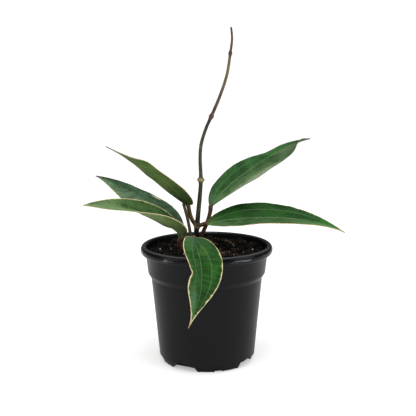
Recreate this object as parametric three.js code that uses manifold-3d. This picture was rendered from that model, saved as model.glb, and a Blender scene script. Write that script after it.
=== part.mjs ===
// Hoya latifolia, young plant in a 4.5 inch nursery pot.
// Millimetres, +Z up, front of the plant towards -Y, origin on the pot's axis at the table.

import * as THREE from 'three';
import { mergeVertices } from 'three/addons/utils/BufferGeometryUtils.js';
import Module from 'manifold-3d';

const wasm = await Module();
wasm.setup();

// Pot
const POT_SIDES = 60;
const FOOT_COUNT = 4;
const FOOT_TURN = 14;
const ARCH_TURN = 60.5;
const LIP_CENTRE_RADIUS = 55.4;
const LIP_CENTRE_HEIGHT = 100.2;
const LIP_HALF_WIDTH = 2.9;
const LIP_HALF_HEIGHT = 3.9;
const COLLAR_TOP_RADIUS = 53.7;
const COLLAR_FOOT_RADIUS = 52;
const COLLAR_FOOT_HEIGHT = 80;
const BODY_TOP_RADIUS = 49.2;
const BODY_TOP_HEIGHT = 75.4;
const BODY_FOOT_RADIUS = 42.6;
const BODY_FOOT_HEIGHT = 5.4;
const FOOT_TOP_RADIUS = 41;
const FOOT_TOP_HEIGHT = 4.6;
const BASE_RADIUS = 39.9;
const POT_WALL = 1.5;
const BASE_THICKNESS = 1.8;
// Corners of the arches and nicks seen from outside: sideways place and height
const ARCH_CORNERS = [[-12.6, 0], [-9.8, 5.4], [-2.8, 6.7], [4.5, 5.5], [9.7, 3.9], [12.4, 0]];
const ARCH_DEPTH = 8.5;
const DRAIN_RADIUS = 3;
const DRAIN_CIRCLE = 24;
const DRAIN_SIDES = 16;
const NICK_CORNERS = [[-3.6, 0], [-2.8, 3], [0.4, 2.6], [3.4, 1], [3.6, 0]];
const NICK_DEPTH = 2.6;

// Potting mix
const SOIL_HEIGHT = 99;
const SOIL_RINGS = [9, 18, 27, 36, 44];
const SOIL_EDGE_INSET = 0.6;
const HUMMOCK_HEIGHT = 1.5;
const LUMP_HEIGHT = 0.5;
const CHIP_COUNT = 28;
const CHIP_SEED = 7;
const CHIP_REACH = 44;
const CHIP_CLEAR = 8;
const CHIP_LEAST = [4, 2.4, 1.6];
const CHIP_SPREAD = [5, 2.4, 1.4];
const CHIP_TILT = 0.3;

// Vines and leaf stalks
const GAP = 0.3;
const STEM_SIDES = 10;
const MAIN_VINE_RADII = [2.1, 2, 1.8, 1.5, 1.4, 1.35, 1.25, 0.85];
const CUTTING_RADII = [1.7, 1.3];
const STALK_RADIUS = 1.95;
const MAIN_VINE_STEPS = 64;
const CUTTING_STEPS = 18;
const STALK_STEPS = 10;

// Leaf blades
const BLADE_STEPS = 18;
const BLADE_THICKNESS = 0.8;
const BLADE_TIP_HALF = 0.3;
const BLADE_BASE_HALF = 1.7;
const BLADE_BASE_REACH = 0.02;
const KEEL_DEPTH = 0.5;
const KEEL_HALF = 0.12;
const MIDRIB_GROOVE = 0.3;
const SIDE_VEIN_GROOVE = 0.15;
const SIDE_VEIN_AT = 0.45;
const BLADE_STATIONS = [-1, -0.75, -SIDE_VEIN_AT, -0.22, -0.07, 0, 0.07, 0.22, SIDE_VEIN_AT, 0.75, 1];

// Centre line of the main vine: root, two leafy joints, then the long bare whip
const MAIN_VINE_LINE = [
  [-12, 15, 78], [-11.5, 14, 94], [-9.8, 9, 108], [-8.4, 4.6, 119.5], [-7.2, 3, 132],
  [-5.8, 2.5, 146], [-4.8, 3, 160.5], [-5.3, 4.5, 180], [-4.6, 5, 190.5], [-2.6, 4, 198.5],
  [0.4, 2, 207], [4.4, 0, 216], [11.7, -3.5, 233.2], [17.8, -6, 251.6], [20.7, -5, 269.4],
  [22.3, -2, 281.8], [21.5, 0, 291.8],
];
const MAIN_VINE_JOINTS = [
  { height: 96.5, swell: 0.9, reach: 3 },
  { height: 119.5, swell: 1, reach: 3.2 },
  { height: 160.5, swell: 1.1, reach: 1.9 },
  { height: 216, swell: 0.55, reach: 2.2 },
  { height: 269.5, swell: 0.6, reach: 1.7 },
];
const CUTTING_LINE = [
  [-15.5, -7, 79], [-15, -6, 94], [-14, -3, 105], [-14.4, -2, 114], [-16.6, -1.8, 127], [-19.7, -2, 139],
];
const CUTTING_JOINTS = [{ height: 96, swell: 0.9, reach: 3 }];

// Leaves: the midrib is a Bezier curve from base to tip, and face is where the upper side looks.
// Half is the greatest half width on each side, form the outline's fullness at base and tip, and
// fold and curl are degrees. A bump pinches or lifts one margin at a share of the length.
const LEAVES = {
  upper_left: {
    stalk: [[-8.4, 4.6, 119.5], [-14.3, 2.6, 125.5], [-14.3, 1, 130], [-16, 0, 138.6]],
    midrib: [[-16, 0, 139], [-36, -10, 169.8], [-62.5, -28, 183.2], [-82.5, -34, 194.3]],
    half: { left: 14.7, right: 13.7 },
    form: { left: [0.34, 1.31], right: [0.7, 1.24] },
    face: [[0.3, 0.55, 0.9], [0.3, 0.5, 0.9], [0.4, 0.2, 1]],
    fold: { left: [-2, 0, 2], right: [9, 2, 4] },
    curl: 13,
    bumps: [
      { side: 'left', at: 0.62, reach: 0.12, lift: 2.8, pinch: 0.02 },
    ],
  },
  middle_left: {
    stalk: [[-15, -6, 96], [-16, 0, 103], [-19.5, 5, 110], [-20.6, 7.6, 117.6]],
    midrib: [[-21, 8, 118], [-36.3, 18, 127.2], [-74.3, 44, 149.1], [-104.6, 58, 157.8]],
    half: { left: 17.2, right: 15.8 },
    form: { left: [0.6, 1.24], right: [0.81, 1.1] },
    face: [[-0.1, -0.36, 1], [-0.1, -0.36, 1]],
    fold: { left: [-3, -3, 4], right: [12, -27, -1.4] },
    bumps: [
      { side: 'left', at: 0.22, reach: 0.14, lift: -0.2, pinch: 0.23 },
    ],
  },
  lower_left: {
    stalk: [[-15, -6, 96], [-20, -9, 100], [-26, -13.5, 107], [-22.2, -14.9, 112.6]],
    midrib: [[-22, -15, 113], [-19, -20, 123.2], [-72.9, -34, 151.6], [-101.3, -45, 146.8]],
    half: { left: 19.4, right: 14.1 },
    form: { left: [0.71, 1.05], right: [0.74, 1.23] },
    face: [[-0.3, 0, 1], [-0.1, -0.55, 1]],
    fold: { left: [20, 37, 14, -2], right: [60, 34, 16, 0] },
  },
  right: {
    stalk: [[-8.4, 4.6, 119.5], [-5, 3, 120], [-3, 0.5, 122], [-0.4, -1.7, 122.9]],
    midrib: [[0, -2, 123], [24.6, -5, 128.6], [84.2, -10, 135.6], [120.1, -14, 116.7]],
    half: { left: 18.8, right: 19.9 },
    form: { left: [0.7, 1.33], right: [0.72, 1.22] },
    face: [[0, -0.38, 1], [0, -0.38, 1]],
    fold: { left: [14, 13], right: [10, 17] },
    bumps: [
      { side: 'left', at: 0.7, reach: 0.1, lift: 0.5, pinch: 0.03 },
      { side: 'right', at: 0.43, reach: 0.15, lift: 1, pinch: 0.06 },
    ],
  },
  front: {
    stalk: [[-11.5, 13.8, 96.5], [-7, 0, 100], [-9, -20, 113], [-11, -37.6, 118]],
    midrib: [[-11, -38, 118], [-10.6, -62, 117.9], [7.4, -74, 95.2], [-14.8, -76, 51.3]],
    half: { left: 17.3, right: 21.7 },
    form: { left: [1.64, 2.49], right: [1.42, 2.07] },
    face: [[0.3, -0.6, 1], [0.4, -1, 0.2], [0.4, -1, 0.2]],
    fold: { left: [48, 33, -2], right: [26, 40, 8] },
    bumps: [
      { side: 'right', at: 0.45, reach: 0.139, lift: 0.8, pinch: 0.35 },
      { side: 'right', at: 0.48, reach: 0.03, lift: 0.6, pinch: 0.13 },
    ],
  },
  upper_right: {
    stalk: [[-11.5, 13.8, 96.5], [-6.6, 10, 105.3], [3.6, 5, 124.7], [3.8, 1.7, 137.5]],
    midrib: [[4, 2, 138], [14.7, 12, 152.5], [33.4, 24, 165.5], [76.9, 42, 192.2], [95.5, 50, 192.6]],
    half: { left: 17.2, right: 21.4 },
    form: { left: [0.73, 1.31], right: [0.7, 0.81] },
    face: [[-0.5, -0.5, 0.8], [-0.2, -0.38, 1]],
    fold: { left: [13, -2], right: [12, 1] },
    bumps: [
      { side: 'right', at: 0.89, reach: 0.08, lift: 4.8, pinch: 0.3 },
      { side: 'left', at: 0.65, reach: 0.1, lift: -2, pinch: 0.1 },
    ],
  },
};

// Colours from the photograph
const POT_BLACK = { color: 0x232527, roughness: 0.42, metalness: 0 };
const SOIL_BROWN = { color: 0x241a14, roughness: 0.95, metalness: 0 };
const VINE_GREEN = { color: 0x5b5a3f, roughness: 0.6, metalness: 0 };
const CUTTING_OLIVE = { color: 0x5d5f33, roughness: 0.6, metalness: 0 };
const STALK_BROWN = { color: 0x6d4a40, roughness: 0.55, metalness: 0 };
const LEAF_GREEN = { color: 0x2f6b34, roughness: 0.45, metalness: 0 };

const MERGE_DISTANCE = 1e-4;

const plant = new THREE.Group();

const degrees = (angle) => THREE.MathUtils.degToRad(angle);
const vector = (point) => new THREE.Vector3(...point);

// A mesh of the group, from a closed geometry
function addPiece(name, geometry, look) {
  const mesh = new THREE.Mesh(geometry, new THREE.MeshStandardMaterial(look));
  mesh.name = name;
  plant.add(mesh);
}

// Closed three.js geometry to a solid that can be joined and cut
function toSolid(geometry) {
  const bare = geometry.clone();
  bare.deleteAttribute('normal');
  bare.deleteAttribute('uv');
  const merged = mergeVertices(bare, MERGE_DISTANCE);
  const triVerts = new Uint32Array(merged.index.array);
  const vertProperties = new Float32Array(merged.attributes.position.array);
  return new wasm.Manifold(new wasm.Mesh({ numProp: 3, vertProperties, triVerts }));
}

// The largest piece of a solid, without the scraps that a cut leaves
function mainPiece(solid) {
  const pieces = solid.decompose();
  return pieces.reduce((best, piece) => (piece.volume() > best.volume() ? piece : best));
}

function toGeometry(solid) {
  const { vertProperties, triVerts } = solid.getMesh();
  const geometry = new THREE.BufferGeometry();
  geometry.setAttribute('position', new THREE.BufferAttribute(vertProperties, 3));
  geometry.setIndex(new THREE.BufferAttribute(triVerts, 1));
  geometry.computeVertexNormals();
  return geometry;
}

// Value of a Bezier curve of any number of control values, at t from 0 to 1
function blend(values, t) {
  let row = values;
  while (row.length > 1) {
    row = row.slice(1).map((value, k) => THREE.MathUtils.lerp(row[k], value, t));
  }
  return row[0];
}

function blendPoints(points, t) {
  return new THREE.Vector3(...[0, 1, 2].map((axis) => blend(points.map((p) => p[axis]), t)));
}

// Bezier curve through 3-D control points of any number
class BezierCurve extends THREE.Curve {
  constructor(points) {
    super();
    this.points = points;
  }

  getPoint(t) {
    return blendPoints(this.points, t);
  }
}

// Triangles of a grid of points, rows by columns, from index start on
function gridFaces(rows, columns, start, flip) {
  const faces = [];
  for (let i = 0; i < rows - 1; i += 1) {
    for (let j = 0; j < columns - 1; j += 1) {
      const a = start + i * columns + j;
      const b = a + 1;
      const c = a + columns;
      const d = c + 1;
      faces.push(...(flip ? [a, b, d, a, d, c] : [a, d, b, a, c, d]));
    }
  }
  return faces;
}

function indexedGeometry(points, faces) {
  const geometry = new THREE.BufferGeometry().setFromPoints(points);
  geometry.setIndex(faces);
  geometry.computeVertexNormals();
  return geometry;
}

// Closed tube along a curve, with a radius that changes along it
function taperedTube(curve, radiusAt, steps, extra = 0) {
  const points = [];
  const frames = curve.computeFrenetFrames(steps, false);
  const centres = curve.getSpacedPoints(steps);
  centres[0].addScaledVector(frames.tangents[0], -extra);
  centres[steps].addScaledVector(frames.tangents[steps], extra);
  centres.forEach((centre, i) => {
    const radius = radiusAt(centre, i / steps) + extra;
    for (let k = 0; k <= STEM_SIDES; k += 1) {
      const angle = (k / STEM_SIDES) * 2 * Math.PI;
      points.push(
        centre
          .clone()
          .addScaledVector(frames.normals[i], Math.cos(angle) * radius)
          .addScaledVector(frames.binormals[i], Math.sin(angle) * radius),
      );
    }
  });
  const rows = steps + 1;
  const columns = STEM_SIDES + 1;
  const faces = gridFaces(rows, columns, 0, true);
  const first = points.length;
  points.push(centres[0], centres[steps]);
  for (let k = 0; k < STEM_SIDES; k += 1) {
    const last = steps * columns + k;
    faces.push(first, k + 1, k, first + 1, last, last + 1);
  }
  return indexedGeometry(points, faces);
}

// Outside of the pot from the axis under the base up to the step under the collar
function bodyOutline() {
  return [
    [0, 0],
    [BASE_RADIUS, 0],
    [FOOT_TOP_RADIUS, FOOT_TOP_HEIGHT],
    [BODY_FOOT_RADIUS, BODY_FOOT_HEIGHT],
    [BODY_TOP_RADIUS, BODY_TOP_HEIGHT],
  ];
}

// Whole pot wall: up the outside, over the lip and down the inside
function potOutline() {
  const lip = [-90, -45, 0, 40, 80, 120, 160].map((angle) => [
    LIP_CENTRE_RADIUS + LIP_HALF_WIDTH * Math.cos(degrees(angle)),
    LIP_CENTRE_HEIGHT + LIP_HALF_HEIGHT * Math.sin(degrees(angle)),
  ]);
  const lipFoot = LIP_CENTRE_HEIGHT - LIP_HALF_HEIGHT;
  return [
    ...bodyOutline(),
    [COLLAR_FOOT_RADIUS, COLLAR_FOOT_HEIGHT],
    [COLLAR_TOP_RADIUS, lipFoot],
    ...lip,
    ...innerOutline(0),
  ];
}

// The pot's inner wall from the lip down to the axis, moved inwards by a gap
function innerOutline(gap) {
  const inset = POT_WALL + gap;
  const lipFoot = LIP_CENTRE_HEIGHT - LIP_HALF_HEIGHT;
  return [
    [COLLAR_TOP_RADIUS - inset, lipFoot],
    [COLLAR_FOOT_RADIUS - inset, COLLAR_FOOT_HEIGHT],
    [BODY_TOP_RADIUS - inset, BODY_TOP_HEIGHT],
    [FOOT_TOP_RADIUS - inset, BASE_THICKNESS + gap],
    [0, BASE_THICKNESS + gap],
  ];
}

function lathe(outline) {
  const profile = outline.map(([radius, height]) => new THREE.Vector2(radius, height));
  return new THREE.LatheGeometry(profile, POT_SIDES).rotateX(Math.PI / 2);
}

// A block with leaning sides that reaches outwards through the pot's edge, turned about the axis
function edgeBlock(corners, depth, turn, margin) {
  const beyond = 20;
  const outline = corners.map(([x, z]) => {
    return new THREE.Vector2(x + Math.sign(x) * margin, z > 0 ? z + margin : 0);
  });
  const deep = -beyond / 2;
  outline.push(new THREE.Vector2(outline.at(-1).x, deep), new THREE.Vector2(outline[0].x, deep));
  const length = depth + margin + beyond;
  const block = new THREE.ExtrudeGeometry(new THREE.Shape(outline), {
    depth: length,
    bevelEnabled: false,
  });
  block.rotateX(Math.PI / 2).translate(0, depth + margin - BASE_RADIUS, 0).rotateZ(degrees(turn));
  return toSolid(block);
}

// The arches between the feet and the feet's nicks, or, with a margin, the humps that roof them
function edgeOpenings(margin) {
  return Array.from({ length: FOOT_COUNT }, (_, k) => {
    const turn = (k * 360) / FOOT_COUNT;
    return [
      edgeBlock(ARCH_CORNERS, ARCH_DEPTH, ARCH_TURN + turn, margin),
      edgeBlock(NICK_CORNERS, NICK_DEPTH, FOOT_TURN + turn, margin),
    ];
  }).flat();
}

function drainHoles() {
  return Array.from({ length: FOOT_COUNT }, (_, k) => {
    const hole = new THREE.CylinderGeometry(DRAIN_RADIUS, DRAIN_RADIUS, 4 * BASE_THICKNESS, DRAIN_SIDES);
    hole.rotateX(Math.PI / 2).translate(0, -DRAIN_CIRCLE, 0);
    return toSolid(hole.rotateZ(degrees(FOOT_TURN + (k * 360) / FOOT_COUNT)));
  });
}

function makePot() {
  let pot = toSolid(lathe(potOutline()));
  const body = toSolid(lathe([...bodyOutline(), [0, BODY_TOP_HEIGHT]]));
  for (const hump of edgeOpenings(POT_WALL)) pot = pot.add(hump.intersect(body));
  for (const cutter of [...edgeOpenings(0), ...drainHoles()]) pot = pot.subtract(cutter);
  return pot;
}

// Potting mix
function soilHeight(x, y) {
  const hummocks = Math.sin(0.21 * x + 1.1) * Math.cos(0.17 * y - 0.4);
  const lumps = Math.sin(0.62 * x - 0.47 * y + 0.7) + Math.cos(0.39 * x + 0.81 * y);
  return SOIL_HEIGHT + HUMMOCK_HEIGHT * hummocks + LUMP_HEIGHT * lumps;
}

function makeSoilBody() {
  const wall = innerOutline(GAP).slice(1).reverse();
  const edgeRadius = COLLAR_TOP_RADIUS - POT_WALL - GAP - SOIL_EDGE_INSET;
  const top = [...SOIL_RINGS, edgeRadius].reverse().map((radius) => [radius, SOIL_HEIGHT]);
  const geometry = lathe([...wall, ...top, [0, SOIL_HEIGHT]]);
  const position = geometry.attributes.position;
  for (let i = 0; i < position.count; i += 1) {
    if (position.getZ(i) > SOIL_HEIGHT - 0.01) {
      position.setZ(i, soilHeight(position.getX(i), position.getY(i)));
    }
  }
  return toSolid(geometry);
}

// Repeatable random numbers from 0 to 1
function randomSource(seed) {
  let state = seed;
  return () => {
    state = (state * 1664525 + 1013904223) % 4294967296;
    return state / 4294967296;
  };
}

// Bark chips, half sunk in the mix and clear of the stems
function barkChips() {
  const random = randomSource(CHIP_SEED);
  const stems = [MAIN_VINE_LINE[1], CUTTING_LINE[1]];
  const chips = [];
  while (chips.length < CHIP_COUNT) {
    const radius = CHIP_REACH * Math.sqrt(random());
    const turn = 2 * Math.PI * random();
    const x = radius * Math.cos(turn);
    const y = radius * Math.sin(turn);
    const size = CHIP_LEAST.map((least, k) => least + CHIP_SPREAD[k] * random());
    const tilt = [1, 1].map(() => CHIP_TILT * (2 * random() - 1));
    const heading = 2 * Math.PI * random();
    const clear = stems.every((stem) => Math.hypot(x - stem[0], y - stem[1]) > CHIP_CLEAR);
    if (clear) {
      const chip = new THREE.BoxGeometry(...size);
      chip.rotateX(tilt[0]).rotateY(tilt[1]).rotateZ(heading);
      chip.translate(x, y, soilHeight(x, y) + 0.1 * size[2]);
      chips.push(toSolid(chip));
    }
  }
  return chips;
}

// Straight-line value at t from 0 to 1 in a row of evenly spaced values
function between(values, t) {
  const place = t * (values.length - 1);
  const k = Math.min(Math.floor(place), values.length - 2);
  return THREE.MathUtils.lerp(values[k], values[k + 1], place - k);
}

// Stem radius: a taper from root to tip with a swelling at each joint
function stemRadius(radii, joints) {
  return (centre, share) =>
    joints.reduce(
      (radius, joint) =>
        radius + joint.swell * Math.exp(-(((centre.z - joint.height) / joint.reach) ** 2)),
      between(radii, share),
    );
}

const mainVineCurve = new THREE.CatmullRomCurve3(MAIN_VINE_LINE.map(vector), false, 'centripetal');
const mainVineRadius = stemRadius(MAIN_VINE_RADII, MAIN_VINE_JOINTS);
const cuttingCurve = new THREE.CatmullRomCurve3(CUTTING_LINE.map(vector), false, 'centripetal');
const cuttingRadius = stemRadius(CUTTING_RADII, CUTTING_JOINTS);

function stems(extra) {
  return [
    toSolid(taperedTube(mainVineCurve, mainVineRadius, MAIN_VINE_STEPS, extra)),
    toSolid(taperedTube(cuttingCurve, cuttingRadius, CUTTING_STEPS, extra)),
  ];
}

function stalkTube(leaf, extra) {
  return toSolid(taperedTube(new BezierCurve(leaf.stalk), () => STALK_RADIUS, STALK_STEPS, extra));
}

// Share of the full width at a share t of the blade's length
function outlineShape(t, [baseForm, tipForm]) {
  const widest = baseForm / (baseForm + tipForm);
  return (t / widest) ** baseForm * ((1 - t) / (1 - widest)) ** tipForm;
}

// Sideways reach and lift of the blade's surface at t along it and v across it
function crossSection(leaf, t, v) {
  const side = v < 0 ? 'right' : 'left';
  const across = Math.abs(v);
  const base = (BLADE_BASE_HALF - BLADE_TIP_HALF) * Math.exp(-t / BLADE_BASE_REACH);
  let half = leaf.half[side] * outlineShape(t, leaf.form[side]) + BLADE_TIP_HALF + base;
  let lift = 0;
  for (const bump of (leaf.bumps ?? []).filter((one) => one.side === side)) {
    const strength = Math.exp(-(((t - bump.at) / bump.reach) ** 2));
    half *= 1 - bump.pinch * strength;
    lift += bump.lift * strength * across ** 2;
  }
  const fold = degrees(blend(leaf.fold[side], t));
  const curl = degrees(leaf.curl ?? 0);
  if (curl === 0) {
    return { reach: half * across * Math.cos(fold), lift: lift + half * across * Math.sin(fold) };
  }
  return {
    reach: (half / curl) * (Math.sin(fold) - Math.sin(fold - curl * across)),
    lift: lift + (half / curl) * (Math.cos(fold - curl * across) - Math.cos(fold)),
  };
}

// How far the groove of the midrib or of a side vein lies below the upper surface
function veinGroove(t, v) {
  const fade = Math.sin(Math.PI * Math.min(1, t + 0.06));
  if (v === 0) return MIDRIB_GROOVE * fade;
  return Math.abs(v) === SIDE_VEIN_AT ? SIDE_VEIN_GROOVE * fade : 0;
}

// Thickness: thin towards the margins, with a keel under the midrib that fades to the tip
function bladeThickness(t, v) {
  const keel = KEEL_DEPTH * (1 - t) ** 1.5 * Math.max(0, 1 - Math.abs(v) / KEEL_HALF);
  return BLADE_THICKNESS + keel;
}

// Blade: upper and lower grids of points with the same triangles, closed round the margin
function bladeGeometry(leaf) {
  const curve = new BezierCurve(leaf.midrib);
  const upper = [];
  const lower = [];
  for (let i = 0; i <= BLADE_STEPS; i += 1) {
    const t = i / BLADE_STEPS;
    const centre = curve.getPointAt(t);
    const along = curve.getTangentAt(t);
    const normal = blendPoints(leaf.face, t);
    normal.addScaledVector(along, -normal.dot(along)).normalize();
    const left = normal.clone().cross(along);
    for (const v of BLADE_STATIONS) {
      const { reach, lift } = crossSection(leaf, t, v);
      const point = centre.clone().addScaledVector(left, Math.sign(v) * reach);
      const top = lift - veinGroove(t, v);
      upper.push(point.clone().addScaledVector(normal, top));
      lower.push(point.clone().addScaledVector(normal, top - bladeThickness(t, v)));
    }
  }
  const rows = BLADE_STEPS + 1;
  const columns = BLADE_STATIONS.length;
  const count = rows * columns;
  const faces = [...gridFaces(rows, columns, 0, false), ...gridFaces(rows, columns, count, true)];
  const margin = [];
  for (let j = 0; j < columns - 1; j += 1) margin.push(j);
  for (let i = 0; i < rows - 1; i += 1) margin.push(i * columns + columns - 1);
  for (let j = columns - 1; j > 0; j -= 1) margin.push((rows - 1) * columns + j);
  for (let i = rows - 1; i > 0; i -= 1) margin.push(i * columns);
  margin.forEach((a, k) => {
    const b = margin[(k + 1) % margin.length];
    faces.push(a, b + count, a + count, a, b, b + count);
  });
  return indexedGeometry([...upper, ...lower], faces);
}

const [mainVineRoom, cuttingRoom] = stems(GAP);
const [mainVine, cutting] = stems(0);
const leafNames = Object.keys(LEAVES);
const stalkRooms = leafNames.map((name) => stalkTube(LEAVES[name], GAP));

let soil = makeSoilBody();
for (const chip of barkChips()) soil = soil.add(chip);
const soilRooms = [...edgeOpenings(POT_WALL + GAP), mainVineRoom, cuttingRoom, ...stalkRooms];
for (const room of soilRooms) soil = soil.subtract(room);

addPiece('pot', toGeometry(makePot()), POT_BLACK);
addPiece('potting_mix', toGeometry(mainPiece(soil)), SOIL_BROWN);
addPiece('vine_main', toGeometry(mainVine), VINE_GREEN);
addPiece('vine_cutting', toGeometry(cutting), CUTTING_OLIVE);

leafNames.forEach((name, k) => {
  const stalk = stalkTube(LEAVES[name], 0).subtract(mainVineRoom).subtract(cuttingRoom);
  const blade = toSolid(bladeGeometry(LEAVES[name])).subtract(stalkRooms[k]);
  addPiece(`petiole_${name}`, toGeometry(mainPiece(stalk)), STALK_BROWN);
  addPiece(`blade_${name}`, toGeometry(mainPiece(blade)), LEAF_GREEN);
});

export default plant;
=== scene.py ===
"""Finished look of a young hoya latifolia in its nursery pot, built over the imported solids.

Tables and shape functions are in millimetres, objects in metres. +Z is up, the front of the
plant faces -Y, and the origin is on the pot's axis at the table.
"""

import bisect
import math
import random

import bmesh
import bpy
from bpy.props import FloatProperty, FloatVectorProperty, IntProperty, PointerProperty
from mathutils import Matrix, Vector, noise


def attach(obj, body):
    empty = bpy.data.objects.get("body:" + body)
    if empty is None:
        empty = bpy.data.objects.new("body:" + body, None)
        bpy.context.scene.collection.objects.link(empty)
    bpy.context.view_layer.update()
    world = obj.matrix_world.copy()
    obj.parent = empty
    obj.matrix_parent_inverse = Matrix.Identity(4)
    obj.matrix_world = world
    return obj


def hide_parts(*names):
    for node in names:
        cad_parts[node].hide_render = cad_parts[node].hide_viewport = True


bl_info = {
    "name": "Potted hoya latifolia",
    "version": (1, 0, 0),
    "blender": (4, 5, 0),
    "location": "3D View > Sidebar > Hoya",
    "description": "Pot, potting mix, vines and leaves of a young variegated hoya latifolia",
    "category": "Add Mesh",
}

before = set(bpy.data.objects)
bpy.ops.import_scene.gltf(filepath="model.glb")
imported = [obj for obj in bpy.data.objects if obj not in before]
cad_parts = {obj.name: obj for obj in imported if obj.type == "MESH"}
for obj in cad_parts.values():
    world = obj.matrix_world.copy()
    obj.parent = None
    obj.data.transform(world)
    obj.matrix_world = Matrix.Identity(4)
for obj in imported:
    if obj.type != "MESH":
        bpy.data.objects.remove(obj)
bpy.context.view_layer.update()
MM = 0.001


def paint(red, green, blue):
    """Linear colour of a display colour with channels from 0 to 255."""
    shares = [channel / 255 for channel in (red, green, blue)]
    return tuple(c / 12.92 if c <= 0.04045 else ((c + 0.055) / 1.055) ** 2.4 for c in shares)


# Pot, as radius and height on its outline; the lip rolls through angles of its section
LIP_HALF_WIDTH = 2.9
LIP_HALF_HEIGHT = 3.9
LIP_CENTRE_HEIGHT = 100.2
LIP_FOOT_HEIGHT = LIP_CENTRE_HEIGHT - LIP_HALF_HEIGHT
LIP_ROLL = (-90, 160)
LIP_ROLL_STEPS = 14
COLLAR_TOP_RADIUS = 53.7
COLLAR_FOOT_RADIUS = 52
COLLAR_FOOT_HEIGHT = 80
BODY_TOP_RADIUS = 49.2
BODY_TOP_HEIGHT = 75.4
BODY_FOOT_RADIUS = 42.6
BODY_FOOT_HEIGHT = 5.4
FOOT_TOP_RADIUS = 41
FOOT_TOP_HEIGHT = 4.6
BASE_RADIUS = 39.9
POT_WALL = 1.5
BASE_THICKNESS = 1.8
POT_STEPS = 180
BODY_RINGS = 24
SHARP_ANGLE = 32

# Feet, arches and drain holes of the pot; corners are sideways place and height seen from outside
FOOT_COUNT = 4
FOOT_TURN = 14
FOOT_TURNS = [k * 360 / FOOT_COUNT for k in range(FOOT_COUNT)]
ARCH_TURN = 60.5
ARCH_CORNERS = ((-12.6, 0), (-9.8, 5.4), (-2.8, 6.7), (4.5, 5.5), (9.7, 3.9), (12.4, 0))
ARCH_DEPTH = 8.5
NICK_CORNERS = ((-3.6, 0), (-2.8, 3), (0.4, 2.6), (3.4, 1), (3.6, 0))
NICK_DEPTH = 2.6
CUT_BEYOND = 20
DRAIN_RADIUS = 3
DRAIN_CIRCLE = 24
DRAIN_SIDES = 32

# Potting mix
SOIL_EDGE_INSET = 0.6
SOIL_RING_COUNT = 60
SOIL_STEPS = 200
HUMMOCK_HEIGHT = 1.5
LUMP_HEIGHT = 0.5
CRUMBLE_HEIGHT = 1.1
CHIP_SEED = 7
CHIP_REACH = 44
CHIP_CLEAR = 8
CHIP_LEAST = (4, 2.4, 1.6)
CHIP_SPREAD = (5, 2.4, 1.4)
CHIP_TILT = 0.3
LITTER_SEED = 21
LITTER_REACH = 46
CRUMB_REACH = 49
LITTER_TILT = 0.6
GAP = 0.3

# Stems: rings and scars swell by shares of their joint's swelling, and the foot and head of a
# stalk by shares of its radius, over reaches that are shares of its length
STEM_SIDES = 24
STEM_UNEVENNESS = 0.04
JOINT_SWELL = 0.8
RING_SWELL = 0.35
RING_REACH = 0.6
SCAR_SWELL = 0.7
SCAR_RISE = 0.9
SCAR_REACH = 1.3
VINE_TIP_SHARPNESS = 260
FOOT_SWELL = 0.35
FOOT_REACH = 0.12
HEAD_SWELL = 0.15
HEAD_REACH = 0.15
STALK_WAIST = 0.94
STALK_TIP_SHARPNESS = 18
STALK_STEPS = 60
STALK_READINGS = 12
STALK_OVERLAP = 2.4
STALK_SINK = 0.5
YOUNG_WOOD_HEIGHT = 200
CURVE_DIVISIONS = 400

# Vines: the radii are spaced evenly along the line. A joint is its height, its swelling, the reach
# of that up and down, and the bearing of its first leaf scar. Shades are colours by height, and
# streaks is how strongly dark streaks show in them.
VINES = (
    {
        "piece": "vine_main_stem",
        "slot": "vine",
        "node": "vine_main",
        "skin": "vine_skin",
        "steps": 420,
        "radii": (2.3, 2.25, 2, 1.6, 1.4, 1.35, 1.25, 0.85),
        "line": (
            (-12, 15, 78), (-11.5, 14, 94), (-9.8, 9, 108), (-8.4, 4.6, 119.5), (-7.2, 3, 132),
            (-5.8, 2.5, 146), (-4.8, 3, 160.5), (-5.3, 4.5, 180), (-4.6, 5, 190.5),
            (-2.6, 4, 198.5), (0.4, 2, 207), (4.4, 0, 216), (11.7, -3.5, 233.2),
            (17.8, -6, 251.6), (20.7, -5, 269.4), (22.3, -2, 281.8), (21.5, 0, 291.8),
        ),
        "joints": (
            (96.5, 0.9, 3, 60), (119.5, 1, 3.2, 90), (160.5, 1.1, 1.9, 0), (216, 0.55, 2.2, 20),
            (269.5, 0.6, 1.7, 100),
        ),
        "shades": (
            (90, (36, 29, 18)), (100, (30, 31, 14)), (122, (30, 35, 16)), (134, (55, 61, 36)),
            (190, (64, 70, 34)), (212, (54, 42, 34)), (232, (84, 64, 46)), (256, (122, 106, 64)),
            (270, (84, 56, 42)), (282, (98, 76, 54)), (292, (84, 50, 40)),
        ),
        "streaks": 0.6,
    },
    {
        "piece": "cut_vine_stem",
        "slot": "cutting",
        "node": "vine_cutting",
        "skin": "cutting_skin",
        "steps": 130,
        "radii": (1.7, 1.3),
        "line": (
            (-15.5, -7, 79), (-15, -6, 94), (-14, -3, 105), (-14.4, -2, 114),
            (-16.6, -1.8, 127), (-20.3, -2, 141.2),
        ),
        "joints": ((96, 0.9, 3, 0),),
        "shades": (
            (92, (58, 44, 30)), (104, (62, 56, 28)), (134, (80, 78, 38)), (137.2, (90, 72, 42)),
            (138.6, (76, 52, 34)),
        ),
        "streaks": 0.5,
    },
)

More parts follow.
